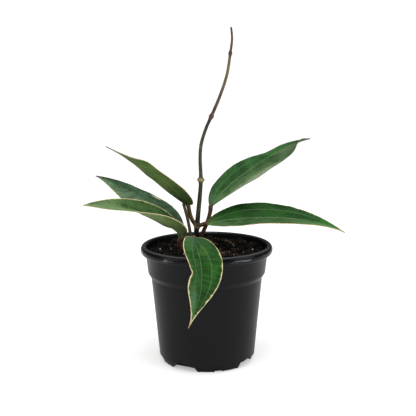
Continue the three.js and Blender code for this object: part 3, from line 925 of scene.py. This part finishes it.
class Reading:
    """What a node gives at each point: a number, a place or a colour."""

    def __init__(self, pattern, socket):
        self.pattern = pattern
        self.socket = socket

    def __add__(self, other):
        return self.pattern.math("ADD", self, other)

    def __sub__(self, other):
        return self + other * -1

    def __mul__(self, other):
        return self.pattern.math("MULTIPLY", self, other)

    def __truediv__(self, other):
        return self.pattern.math("DIVIDE", self, other)

    def __abs__(self):
        return self.pattern.math("ABSOLUTE", self)

    def step(self, low, high, first=0, last=1):
        """Smooth step from first to last while the number goes from low to high."""
        inputs = dict(enumerate((self, low, high, first, last)))
        return self.pattern.read("ShaderNodeMapRange", inputs, interpolation_type="SMOOTHSTEP")

    def parts(self):
        outputs = self.pattern.node("ShaderNodeSeparateXYZ", {0: self}).outputs
        return [Reading(self.pattern, output) for output in outputs]

    def stretched(self, *stretch):
        inputs = {0: self, 1: stretch}
        return self.pattern.read("ShaderNodeVectorMath", inputs, operation="MULTIPLY")

    def shaded(self, brightness):
        inputs = {0: self, 3: brightness}
        return self.pattern.read("ShaderNodeVectorMath", inputs, operation="SCALE")


class Pattern:
    """Nodes that are added to a material's or the sky's tree and linked one by one."""

    def __init__(self, tree):
        self.tree = tree

    def feed(self, socket, value):
        """Links a reading or sets a constant. A tuple for a colour is a display colour."""
        if isinstance(value, Reading):
            self.tree.links.new(value.socket, socket)
        elif socket.type == "RGBA":
            socket.default_value = (*(paint(*value) if isinstance(value, tuple) else value), 1)
        else:
            socket.default_value = value

    def node(self, kind, inputs, **settings):
        """Adds a node with its settings, feeds its inputs and returns it."""
        node = self.tree.nodes.new(kind)
        for name, value in settings.items():
            setattr(node, name, value)
        for key, value in inputs.items():
            self.feed(node.inputs[key], value)
        return node

    def existing(self, kind):
        return {node.type: node for node in self.tree.nodes}[kind]

    def read(self, kind, inputs, output=0, **settings):
        return Reading(self, self.node(kind, inputs, **settings).outputs[output])

    def math(self, operation, a, b=0):
        return self.read("ShaderNodeMath", {0: a, 1: b}, operation=operation)

    def value(self, name):
        """A number that the mesh carries at each point."""
        return self.read("ShaderNodeAttribute", {}, "Fac", attribute_name=name)

    def place(self, name):
        """A vector that the mesh carries at each point."""
        return self.read("ShaderNodeAttribute", {}, "Vector", attribute_name=name)

    def object_place(self, *stretch):
        """Object coordinates in millimetres, stretched."""
        coordinates = self.read("ShaderNodeTexCoord", {}, "Object")
        return coordinates.stretched(*[s / MM for s in stretch or (1, 1, 1)])

    def noise(self, vector, scale, detail=3, roughness=0.55, distortion=0):
        names = ("Vector", "Scale", "Detail", "Roughness", "Distortion")
        inputs = dict(zip(names, (vector, scale, detail, roughness, distortion)))
        return self.read("ShaderNodeTexNoise", inputs)

    def cells(self, vector, scale, feature="F1"):
        """Distance within cells and a chance colour for each."""
        inputs = {"Vector": vector, "Scale": scale}
        outputs = self.node("ShaderNodeTexVoronoi", inputs, feature=feature).outputs
        return [Reading(self, output) for output in outputs[:2]]

    def mix(self, share, a, b):
        return self.read("ShaderNodeMix", {0: share, 6: a, 7: b}, 2, data_type="RGBA")

    def coated(self, colour, *coats):
        """The colour under coats of paint, each given as its mask and its own colour."""
        for mask, coat in coats:
            colour = self.mix(mask, colour, coat)
        return colour

    def bump(self, height, distance, strength):
        inputs = {"Height": height, "Distance": distance * MM, "Strength": strength}
        return self.read("ShaderNodeBump", inputs)


class Finish(Pattern):
    """The pattern of a new material, which ends in its surface shader."""

    def __init__(self, name):
        self.material = bpy.data.materials.new(name)
        self.material.use_nodes = True
        super().__init__(self.material.node_tree)

    def set(self, **inputs):
        """Feeds the surface shader's sockets, with underscores for the spaces in their names."""
        shader = self.existing("BSDF_PRINCIPLED")
        for name, value in inputs.items():
            self.feed(shader.inputs[name.replace("_", " ")], value)
        return self.material


def pot_plastic(settings):
    """Black moulded plastic: glossier lip, scuffed wall, dusty foot, painted highlights and painted
    shade.
    """
    finish = Finish("black_pot_plastic")
    place = finish.object_place()
    x, y, height = place.parts()
    radius = finish.math("SQRT", x * x + y * y)
    flow = finish.noise(finish.object_place(0.5, 0.5, 0.04), 1, 4)
    mottle = finish.noise(place, 0.06, 3)
    scuffs = finish.noise(finish.object_place(0.12, 0.12, 0.9), 1, 6, 0.7, 1.5)
    # Noise that breaks the painted highlight on the lip into streaks.
    highlight_breakup = finish.noise(finish.object_place(0.05, 0.05, 0.3), 1, 5, 0.6)
    grain = finish.noise(place, 2.2, 3)
    scuffed = scuffs.step(0.62, 0.76) * mottle.step(0.45, 0.7)
    dust = height.step(22, 2) * flow.step(0.3, 0.75)
    # Painted shade: the inside of the wall above the potting mix is coloured near black and made
    # rougher.
    wall_slope = (COLLAR_TOP_RADIUS - COLLAR_FOOT_RADIUS) / (LIP_CENTRE_HEIGHT - COLLAR_FOOT_HEIGHT)
    inwards = radius + (height - COLLAR_FOOT_HEIGHT) * -wall_slope
    inside = inwards.step(COLLAR_FOOT_RADIUS - 0.4, COLLAR_FOOT_RADIUS - 1)
    inside *= height.step(COLLAR_FOOT_HEIGHT, COLLAR_FOOT_HEIGHT + 4)
    # Painted shade: the band on the step under the collar is coloured near black.
    painted_shade_under_collar = height.step(BODY_TOP_HEIGHT - 0.3, BODY_TOP_HEIGHT + 0.5)
    painted_shade_under_collar *= height.step(COLLAR_FOOT_HEIGHT + 0.3, COLLAR_FOOT_HEIGHT - 0.5)
    lip = height.step(LIP_FOOT_HEIGHT, LIP_CENTRE_HEIGHT)
    # Painted highlight: a pale grey line along the top of the lip.
    painted_highlight_line = lip * height.step(LIP_CENTRE_HEIGHT + 2.6, LIP_CENTRE_HEIGHT + 3.7)
    # Painted highlight: pale streaks round the middle of the lip's outer face.
    painted_lip_highlight = height.step(LIP_CENTRE_HEIGHT - 1.8, LIP_CENTRE_HEIGHT - 0.6)
    painted_lip_highlight *= height.step(LIP_CENTRE_HEIGHT + 1.4, LIP_CENTRE_HEIGHT + 0.2)
    colour = finish.coated(
        settings.plastic,
        (flow * 0.3, (20, 21, 22)),
        (scuffed * 0.35, (56, 57, 58)),
        (dust * 0.08, (80, 75, 68)),
        (painted_shade_under_collar, (4, 4, 5)),
        (lip * 0.6, (8, 8, 9)),
        (painted_highlight_line * 0.8, (78, 80, 84)),
        (painted_lip_highlight * highlight_breakup.step(0.57, 0.66, 0, 0.8), (118, 119, 122)),
        (inside, (4, 4, 3)),
    )
    roughness = mottle * 0.16 + (settings.gloss - 0.08) + scuffed * 0.14 - lip * 0.09
    return finish.set(
        Base_Color=colour,
        Roughness=roughness + inside * 0.35,
        Specular_IOR_Level=0.16,
        Normal=finish.bump(grain * 0.35 + flow * 0.5 + scuffed * 0.5, 0.1, 0.5),
    )


def moist_peat(settings):
    """Nearly black peat with brown crumbs."""
    finish = Finish("moist_peat")
    place = finish.object_place()
    broad = finish.noise(place, 0.11, 3)
    crumbs = finish.noise(place, 0.7, 6, 0.65)
    specks, _ = finish.cells(place, 0.9)
    colour = finish.mix(crumbs.step(0.42, 0.72), settings.peat, (58, 40, 28))
    return finish.set(
        Base_Color=finish.mix(broad.step(0.4, 0.65), (9, 7, 6), colour),
        Roughness=crumbs.step(0.3, 0.7, 0.95, 0.7),
        Specular_IOR_Level=0.3,
        Normal=finish.bump(crumbs + specks * 0.4, 1.2, 0.9),
    )


def bark(settings):
    """Bark chips and crumbs from nearly black to brown and tan, by each piece's tone."""
    finish = Finish("bark_chips")
    tone = finish.value("tone")
    grain = finish.noise(finish.object_place(0.5, 1.6, 1.2), 1, 5, 0.65)
    colour = finish.mix(tone.step(0.35, 0.95), (20, 15, 12), settings.bark)
    return finish.set(
        Base_Color=finish.mix(grain.step(0.35, 0.7), finish.mix(0.6, colour, (0, 0, 0)), colour),
        Roughness=grain.step(0.2, 0.8, 0.9, 0.6),
        Specular_IOR_Level=0.3,
        Normal=finish.bump(grain + finish.noise(finish.object_place(), 2.5, 3), 0.5, 0.8),
    )


def perlite():
    """Porous white grains, a little soiled."""
    finish = Finish("perlite")
    place = finish.object_place()
    soil = finish.noise(place, 0.9, 4)
    pores, _ = finish.cells(place, 3.5)
    return finish.set(
        Base_Color=finish.mix(soil.step(0.4, 0.75), (224, 218, 206), (112, 98, 82)),
        Roughness=0.9,
        Normal=finish.bump(pores, 0.3, 0.8),
    )


def vine_skin(vine, settings):
    """Skin of a vine: shades by height, fine streaks, pale dots and leaf scars.

    The scars are tan on old wood and red brown on the young wood of the whip.
    """
    finish = Finish(vine["skin"])
    height = finish.object_place().parts()[2]
    straight = finish.place("straight")
    shades = vine["shades"]
    colour = shades[0][1]
    for (low, _), (high, shade) in zip(shades, shades[1:]):
        colour = finish.mix(height.step(low, high), colour, shade)
    streaks = finish.noise(straight.stretched(1.4, 1.4, 0.12), 1, 4)
    blotches = finish.noise(straight.stretched(0.5, 0.5, 0.25), 1, 3)
    dots, _ = finish.cells(straight.stretched(1.1, 1.1, 0.6), 1)
    dark = finish.mix(0.55, colour, (25.5, 28.6, 17.9))
    colour = finish.mix(streaks.step(0.4, 0.65) * vine["streaks"], colour, dark)
    pale = finish.mix(0.4, colour, (168, 158, 124))
    ripeness = height.step(YOUNG_WOOD_HEIGHT, YOUNG_WOOD_HEIGHT - 10)
    colour = finish.coated(
        colour,
        (blotches.step(0.52, 0.7) * 0.5, pale),
        (dots.step(0.16, 0.08), pale),
        (
            finish.value("joint") * blotches.step(0.25, 0.5),
            finish.mix(ripeness, (104, 60, 48), settings.scar),
        ),
        (finish.value("bud"), (44, 30, 22)),
    )
    return finish.set(
        Base_Color=colour,
        Roughness=blotches.step(0.3, 0.7, 0.42, 0.58),
        Specular_IOR_Level=0.4,
        Normal=finish.bump(streaks - dots * 0.3, 0.25, 0.7),
    )


def stalk_skin(settings):
    """Reddish brown stalk skin with pale streaks and fine cross wrinkles."""
    finish = Finish("stalk_skin")
    straight = finish.place("straight")
    streaks = finish.noise(straight.stretched(1.1, 1.1, 0.1), 1, 4)
    wrinkles = finish.noise(straight.stretched(0.4, 0.4, 1.6), 1, 3)
    blotches = finish.noise(straight, 0.3, 3)
    colour = finish.coated(
        settings.stalk_brown,
        (blotches.step(0.4, 0.62), (66, 56, 34)),
        (streaks.step(0.5, 0.64, 0, 0.7), (138, 104, 76)),
        (streaks.step(0.45, 0.3, 0, 0.6), (34, 22, 17)),
    )
    return finish.set(
        Base_Color=colour,
        Roughness=wrinkles.step(0.3, 0.7, 0.4, 0.55),
        Specular_IOR_Level=0.45,
        Normal=finish.bump(streaks + wrinkles * 0.6, 0.2, 0.7),
    )


def lateral_lines(finish, flat, slant):
    """Irregular fine streaks and evenly spaced ribs that run from the midrib to the margin."""
    x, y, seed = flat.parts()
    reach = x - abs(y) * slant
    line = finish.read("ShaderNodeCombineXYZ", {0: reach * 1.1, 1: y * 0.16, 2: seed})
    waver = finish.noise(flat, 0.09, 2) * 7
    return finish.noise(line, 1, 4, 0.65), finish.math("SINE", reach * 1.45 + waver)


def with_colour_and_sheen_patches(finish, colour, leaf, flat):
    """The colour with the leaf's own ragged ovals over it, some its own colour and some painted sheen
    and glare.
    """
    along = finish.value("along")
    across = finish.value("across")
    waver = (finish.noise(flat, 0.22, 4, 0.65) - 0.5) * 1.6
    for at, sideways, length, width, strength, shade in leaf["colour_and_sheen_patches"]:
        x = (along - at) * (1 / length)
        y = (across - sideways) * (1 / width)
        colour = finish.mix((x * x + y * y + waver).step(1.1, 0.1, 0, strength), colour, shade)
    return colour


def upper_side(name, leaf, settings):
    """Upper side of a blade: mottled green, pale veins, cream margin, coloured tail, and painted
    light, shade and sheen.
    """
    finish = Finish(name)
    flat = finish.place("flat")
    y = flat.parts()[1]
    along = finish.value("along")
    edge = finish.value("edge")
    # Painted light and shade: the brightness that the mesh carries for each half.
    shade = finish.value("shade")
    streaks, ribs = lateral_lines(finish, flat, leaf["slant"])
    mottle = finish.noise(flat.stretched(0.5, 0.9, 1), 1, 5, 0.6)
    net, _ = finish.cells(flat.stretched(0.32, 0.5, 1), 1, "DISTANCE_TO_EDGE")

    # Each half has its own greens, which also paint the light and shade that fall on it.
    left_half = y.step(-1.5, 1.5)
    deep = finish.mix(left_half, leaf["deep"]["right"], leaf["deep"]["left"])
    light = finish.mix(left_half, leaf["green"]["right"], leaf["green"]["left"])
    broad = finish.noise(flat, 0.05, 2, 0.5, 0.6)
    # Ovals over the greens: some the leaf's own colour, some painted sheen and glare.
    green = with_colour_and_sheen_patches(finish, finish.mix(broad.step(0.36, 0.64), deep, light), leaf, flat)
    main_vein = (abs(y) / along.step(0, 1, 0.75, 0.3)).step(1.15, 0.35)
    side_vein = (abs(finish.value("side_vein")) / along.step(0, 1, 0.6, 0.35)).step(1.15, 0.3)
    main_strength, side_strength = leaf["veins"]
    veins = finish.math("MAXIMUM", main_vein * main_strength, side_vein * side_strength)
    green = finish.coated(
        green,
        (streaks.step(0.5, 0.68, 0, 0.7), light),
        (streaks.step(0.5, 0.34, 0, 0.75), deep),
        (mottle.step(0.48, 0.3, 0, 0.5), finish.mix(0.5, deep, (0, 25.5, 0))),
        (net.step(0.07, 0, 0, 0.12), settings.vein),
        (ribs.step(0.8, 1, 0, 0.2), settings.vein),
        (veins * along.step(1, 0.55), settings.vein),
        (along.step(leaf["base_reach"], 0, 0, 0.8), leaf["base"]),
    ).shaded(shade)

    specks, chance = finish.cells(flat.stretched(0.16, 0.16, 1), 1)
    specks = specks.step(0.09, 0.05) * chance.parts()[0].step(0.86, 0.9)
    ragged = finish.noise(flat.stretched(0.28, 0.1, 1), 1, 4, 0.65)
    width = finish.value("cream") * ragged.step(0.3, 0.7, 0.3, 1.6)
    rim = width - edge
    green = finish.coated(
        green,
        # Painted highlight: where the painted brightness is high, the green pales towards the vein
        # colour.
        (shade.step(1.15, 1.9, 0, 0.2), settings.vein),
        (specks * 0.7, (200, 206, 150)),
        ((width * 1.7 - edge).step(-0.5, 0.6, 0, 0.5), finish.mix(0.4, light, (170, 180, 76))),
        (rim.step(-0.1, 0.2), settings.cream),
        (edge.step(0.4, 0) * rim.step(0, 0.4, 0, 0.45), (196, 150, 128)),
        (edge.step(0.4, 0.05, 0, 0.6) * rim.step(0.1, -0.1), (62, 52, 44)),
        (along.step(0.93, 0.985), leaf["tail"]),
    )
    relief = mottle * 0.5 + net.step(0, 0.12) * 0.5 + streaks * 0.8 - ribs.step(0.6, 1) * 0.5
    return finish.set(
        Base_Color=green,
        Roughness=mottle.step(0.2, 0.8, settings.roughness - 0.06, settings.roughness + 0.1),
        Specular_IOR_Level=0.17,
        Normal=finish.bump(relief, 0.22, 0.8),
    )


def under_side(name, leaf, settings):
    """Underside of a blade: paler and duller, with a raised midrib, a fine mottle and painted light
    and shade.
    """
    finish = Finish(name)
    flat = finish.place("flat")
    along = finish.value("along")
    streaks, ribs = lateral_lines(finish, flat, leaf["slant"])
    broad = finish.noise(flat, 0.05, 2)
    mottle = finish.noise(flat.stretched(0.45, 0.9, 1), 1, 5, 0.6)
    net, _ = finish.cells(flat.stretched(0.4, 0.55, 1), 1, "DISTANCE_TO_EDGE")
    main_vein = abs(flat.parts()[1]).step(1.4, 0.5)
    side_vein = abs(finish.value("side_vein")).step(0.8, 0.2, 0, 0.5)
    rim = finish.value("cream") - finish.value("edge")
    # The olive is scaled by the painted light and shade of each half.
    olive = finish.coated(
        finish.mix(broad.step(0.35, 0.65), leaf["under_deep"], leaf["under"]),
        (streaks.step(0.5, 0.72, 0, 0.6), leaf["under"]),
        (streaks.step(0.5, 0.3, 0, 0.6), leaf["under_deep"]),
        (ribs.step(0.75, 1, 0, 0.3), leaf["under_deep"]),
        (net.step(0.08, 0, 0, 0.12), settings.vein),
        (finish.math("MAXIMUM", main_vein, side_vein) * 0.2, (140, 150, 100)),
        (along.step(0.3, 0, 0, 0.85), leaf["base"]),
    ).shaded(finish.value("shade"))
    olive = finish.coated(
        olive,
        (rim.step(-0.15, 0.25, 0, 0.9), settings.cream),
        (along.step(0.92, 0.985), leaf["tail"]),
    )
    return finish.set(
        Base_Color=olive,
        Roughness=mottle.step(0.2, 0.8, 0.5, 0.66),
        Specular_IOR_Level=0.2,
        Normal=finish.bump(mottle + net.step(0.1, 0) * 0.5 + streaks * 0.8, 0.2, 0.7),
    )


def glow_by_ray(pattern, lit, mirrored, seen):
    """Strength of a studio surface as a light, in reflections and as the camera sees it."""
    strength = lit
    for ray, wanted in (("Is Glossy Ray", mirrored), ("Is Camera Ray", seen)):
        share = pattern.read("ShaderNodeLightPath", {}, ray)
        strength = pattern.read("ShaderNodeMix", {0: share, 2: strength, 3: wanted})
    return strength


def studio_white(settings):
    """Pale floor that a strong studio light nearly bleaches."""
    finish = Finish("studio_floor")
    cloud = finish.noise(finish.object_place(), 0.01, 2)
    mirrored = finish.read("ShaderNodeLightPath", {}, "Is Glossy Ray")
    return finish.set(
        Base_Color=finish.coated(
            (243.4, 243.4, 243.4),
            (cloud * 0.1, (238.6, 238.6, 239.8)),
            (mirrored, (203.4, 203.4, 206.4)),
        ),
        Roughness=0.8,
        Specular_IOR_Level=0.2,
        Emission_Color=(255, 255, 255),
        Emission_Strength=glow_by_ray(finish, 0, 0.22, settings.floor_glow),
    )


# Operators


def inner_outline(gap):
    """The pot's inner wall from the lip down to the axis, moved inwards by a gap."""
    inset = POT_WALL + gap
    return [
        (COLLAR_TOP_RADIUS - inset, LIP_FOOT_HEIGHT),
        (COLLAR_FOOT_RADIUS - inset, COLLAR_FOOT_HEIGHT),
        (BODY_TOP_RADIUS - inset, BODY_TOP_HEIGHT),
        (FOOT_TOP_RADIUS - inset, BASE_THICKNESS + gap),
        (0, BASE_THICKNESS + gap),
    ]


def pot_outline(lip_radius):
    """Outside of the pot from the axis up to the lip, round it and down the inside."""
    outline = [
        (0, 0),
        (BASE_RADIUS - 0.7, 0),
        (BASE_RADIUS - 0.2, 0.2),
        (BASE_RADIUS + 0.1, 0.7),
        (FOOT_TOP_RADIUS - 0.1, FOOT_TOP_HEIGHT - 0.3),
        (FOOT_TOP_RADIUS, FOOT_TOP_HEIGHT),
    ]
    for k in range(BODY_RINGS + 1):
        ends = ((BODY_FOOT_RADIUS, BODY_TOP_RADIUS), (BODY_FOOT_HEIGHT, BODY_TOP_HEIGHT))
        outline.append([between(pair, k / BODY_RINGS) for pair in ends])
    outline += [
        (BODY_TOP_RADIUS + 0.3, BODY_TOP_HEIGHT + 0.35),
        (COLLAR_FOOT_RADIUS - 0.35, COLLAR_FOOT_HEIGHT - 0.7),
        (COLLAR_FOOT_RADIUS - 0.05, COLLAR_FOOT_HEIGHT - 0.1),
        (COLLAR_FOOT_RADIUS + 0.05, COLLAR_FOOT_HEIGHT + 0.6),
        (COLLAR_TOP_RADIUS - 0.05, LIP_FOOT_HEIGHT - 0.7),
        (COLLAR_TOP_RADIUS + 0.25, LIP_FOOT_HEIGHT - 0.1),
    ]
    for k in range(LIP_ROLL_STEPS + 1):
        angle = math.radians(between(LIP_ROLL, k / LIP_ROLL_STEPS))
        radius = lip_radius + LIP_HALF_WIDTH * (math.cos(angle) - 1)
        outline.append((radius, LIP_CENTRE_HEIGHT + LIP_HALF_HEIGHT * math.sin(angle)))
    return outline + inner_outline(0)


class HOYA_OT_pot(bpy.types.Operator):
    """Spins the nursery pot and cuts its arches, nicks and drain holes"""

    bl_idname = "hoya.make_pot"
    bl_label = "Nursery Pot"

    def execute(self, context):
        settings = context.scene.hoya_pot
        body = [(0, 0), (BASE_RADIUS, 0), (FOOT_TOP_RADIUS, FOOT_TOP_HEIGHT)]
        body += [(BODY_FOOT_RADIUS, BODY_FOOT_HEIGHT), (BODY_TOP_RADIUS, BODY_TOP_HEIGHT)]
        body += [(0, BODY_TOP_HEIGHT)]
        humps = []
        for hump in edge_openings(POT_WALL):
            humps.append(combined(hump, [spin_outline(body, POT_STEPS)], "INTERSECT"))
        pot = spin_outline(pot_outline(settings.lip_radius / MM), POT_STEPS)
        pot = combined(pot, humps, "UNION")
        pot = combined(pot, [*edge_openings(0), *drain_holes()], "DIFFERENCE")
        for edge in pot.edges:
            edge.smooth = edge.calc_face_angle(math.pi) < math.radians(SHARP_ANGLE)
        piece = put_in_scene("nursery_pot", pot, [pot_plastic(settings)], ["pot"])
        if len(piece.data.polygons) < POT_STEPS * BODY_RINGS:
            raise RuntimeError("the pot lost its wall in a cut")
        return {"FINISHED"}


class HOYA_OT_potting_mix(bpy.types.Operator):
    """Fills the pot with crumbly mix, bark chips, fibres and perlite"""

    bl_idname = "hoya.make_potting_mix"
    bl_label = "Potting Mix"

    def execute(self, context):
        settings = context.scene.hoya_soil
        level = settings.level / MM
        self.fill(settings, level)
        draws = random.Random(LITTER_SEED)
        self.chips(draws, settings, level)
        self.grains(draws, settings, level)
        return {"FINISHED"}

    def fill(self, settings, level):
        edge_radius = COLLAR_TOP_RADIUS - POT_WALL - GAP - SOIL_EDGE_INSET
        outline = list(reversed(inner_outline(GAP)[1:]))
        for k in range(SOIL_RING_COUNT + 1):
            outline.append((edge_radius * (1 - k / SOIL_RING_COUNT), level))
        soil = spin_outline(outline, SOIL_STEPS)
        for vert in soil.verts:
            if vert.co.z > level - 0.01:
                vert.co.z = crumbled_height(vert.co.x, vert.co.y, level)
        soil = combined(soil, edge_openings(POT_WALL + GAP), "DIFFERENCE")
        put_in_scene("potting_mix_body", soil, [moist_peat(settings)], ["potting_mix"])

    def chips(self, draws, settings, level):
        chips = bmesh.new()
        chips.verts.layers.float.new("tone")
        for place, size in chip_places(settings.chip_count, level):
            add_chunk(chips, place, size, 4, 0.2, draws.random())
        for _ in range(settings.crumb_count):
            size = [draws.uniform(0.7, 2.6), draws.uniform(0.6, 1.6), draws.uniform(0.5, 1.2)]
            place = random_place(draws, CRUMB_REACH, level, 0.1)
            add_chunk(chips, place, size, 1, 0.22, draws.random() ** 1.5)
        for _ in range(settings.fibre_count):
            size = [draws.uniform(4, 11), draws.uniform(0.25, 0.5), 0.3]
            place = random_place(draws, LITTER_REACH, level, 0.5)
            add_chunk(chips, place, size, 3, 0.3, draws.uniform(0.2, 1))
        put_in_scene("bark_litter", chips, [bark(settings)])

    def grains(self, draws, settings, level):
        grains = bmesh.new()
        for _ in range(settings.grain_count):
            size = draws.uniform(0.35, 0.8)
            place = random_place(draws, LITTER_REACH, level, 0.25)
            made = bmesh.ops.create_icosphere(grains, subdivisions=2, radius=1)["verts"]
            for vert in made:
                swell = 1 + 0.35 * noise.noise(vert.co * 1.7 + place.translation)
                vert.co = place @ (vert.co * size * swell)
        put_in_scene("perlite_grains", grains, [perlite()])


class HOYA_OT_vines(bpy.types.Operator):
    """Grows the main vine with its bare whip and the short cut vine beside it"""

    bl_idname = "hoya.make_vines"
    bl_label = "Vines"

    def execute(self, context):
        settings = context.scene.hoya_vine
        for vine in VINES:
            radius = vine_radius(vine, settings.thickness)
            marks = joint_marks(vine["joints"])
            stem = tube(smooth_line(vine["line"]), radius, vine["steps"], marks)
            skin = vine_skin(vine, settings)
            put_in_scene(vine["piece"], stem, [skin], [vine["node"]])
        return {"FINISHED"}


class HOYA_OT_leaf_stalks(bpy.types.Operator):
    """Makes the six curved leaf stalks"""

    bl_idname = "hoya.make_leaf_stalks"
    bl_label = "Leaf Stalks"

    def execute(self, context):
        settings = context.scene.hoya_vine
        skin = stalk_skin(settings)
        for name, leaf in LEAVES.items():
            stalk = tube(stalk_line(leaf), stalk_radius(settings.stalk_radius / MM), STALK_STEPS)
            put_in_scene(f"stalk_{name}", stalk, [skin], [f"petiole_{name}"])
        return {"FINISHED"}


class HOYA_OT_leaf_blades(bpy.types.Operator):
    """Makes the six leathery blades with their veins and cream margins"""

    bl_idname = "hoya.make_leaf_blades"
    bl_label = "Leaf Blades"

    def execute(self, context):
        settings = context.scene.hoya_blade
        for seed, (name, leaf) in enumerate(LEAVES.items()):
            finishes = [
                upper_side(f"leaf_upper_side_{name}", leaf, settings),
                under_side(f"leaf_underside_{name}", leaf, settings),
            ]
            blade = blade_mesh(leaf, seed)
            piece = put_in_scene(f"leaf_{name}", blade, finishes, [f"blade_{name}"])
            piece.vertex_groups.new(name="thickness")
            body = piece.modifiers.new("body", "SOLIDIFY")
            body.thickness = settings.thickness + KEEL_DEPTH * MM
            body.offset = -1
            body.vertex_group = "thickness"
            body.material_offset = 1
        return {"FINISHED"}


class HOYA_OT_stage(bpy.types.Operator):
    """Sets the pale floor, the soft studio light and the camera"""

    bl_idname = "hoya.set_stage"
    bl_label = "Stage"

    def execute(self, context):
        settings = context.scene.hoya_stage
        self.floor(settings)
        self.sky(context.scene, settings)
        for name, (place, size, power, tint) in SOFTBOXES.items():
            self.softbox(name, place, size, power, tint)
        self.camera(context.scene, settings)
        context.scene.view_settings.view_transform = "Standard"
        return {"FINISHED"}

    def floor(self, settings):
        bm = bmesh.new()
        bmesh.ops.create_circle(bm, cap_ends=True, segments=96, radius=FLOOR_RADIUS)
        floor = mesh_object("studio_floor", bm, studio_white(settings))

    def sky(self, scene, settings):
        """White surroundings: bright to the camera, softer as a light and dim in reflections."""
        scene.world = bpy.data.worlds.new("studio_surroundings")
        scene.world.use_nodes = True
        sky = Pattern(scene.world.node_tree)
        glow = sky.existing("BACKGROUND")
        sky.feed(glow.inputs["Color"], (255, 255, 255))
        strength = glow_by_ray(sky, settings.sky_light, settings.sky_mirrored, SKY_SEEN)
        sky.feed(glow.inputs["Strength"], strength)

    def softbox(self, name, place, size, power, tint):
        """A square lamp that looks at the middle of the plant."""
        light = bpy.data.lights.new(name, "AREA")
        light.shape = "SQUARE"
        light.size = size
        light.energy = power
        light.color = tint
        lamp = new_object(name, light)
        aim = Vector(LAMP_AIM) - Vector(place)
        lamp.location = place
        lamp.rotation_mode = "QUATERNION"
        lamp.rotation_quaternion = aim.to_track_quat("-Z", "Y")

    def camera(self, scene, settings):
        lens = bpy.data.cameras.new("front_camera")
        lens.sensor_width = 36
        lens.lens = settings.focal_length
        lens.clip_start = 0.01
        lens.clip_end = 50
        camera = new_object("front_camera", lens)
        place = (settings.camera_offset, -settings.camera_distance, settings.camera_height)
        turn = Matrix.Rotation(math.pi / 2 - settings.camera_pitch, 4, "X")
        turn = turn @ Matrix.Rotation(settings.camera_roll, 4, "Z")
        camera.matrix_world = Matrix.Translation(place) @ turn
        scene.camera = camera


OPERATORS = (
    HOYA_OT_pot,
    HOYA_OT_potting_mix,
    HOYA_OT_vines,
    HOYA_OT_leaf_stalks,
    HOYA_OT_leaf_blades,
    HOYA_OT_stage,
)


class HOYA_PT_plant(bpy.types.Panel):
    """Lists the operators and settings of the plant."""

    bl_label = "Potted Hoya"
    bl_idname = "HOYA_PT_plant"
    bl_space_type = "VIEW_3D"
    bl_region_type = "UI"
    bl_category = "Hoya"

    def draw(self, context):
        for operator in OPERATORS:
            self.layout.operator(operator.bl_idname)
        for name, group in SETTINGS_GROUPS.items():
            box = self.layout.box()
            for prop in group.__annotations__:
                box.prop(getattr(context.scene, name), prop)


CLASSES = (*SETTINGS_GROUPS.values(), *OPERATORS, HOYA_PT_plant)


def register():
    for cls in CLASSES:
        bpy.utils.register_class(cls)
    for name, group in SETTINGS_GROUPS.items():
        setattr(bpy.types.Scene, name, PointerProperty(type=group))


def unregister():
    for name in SETTINGS_GROUPS:
        delattr(bpy.types.Scene, name)
    for cls in reversed(CLASSES):
        bpy.utils.unregister_class(cls)


def main():
    register()
    bpy.ops.hoya.make_pot()
    bpy.ops.hoya.make_potting_mix()
    bpy.ops.hoya.make_vines()
    bpy.ops.hoya.make_leaf_stalks()
    bpy.ops.hoya.make_leaf_blades()
    bpy.ops.hoya.set_stage()


if __name__ == "__main__":
    main()
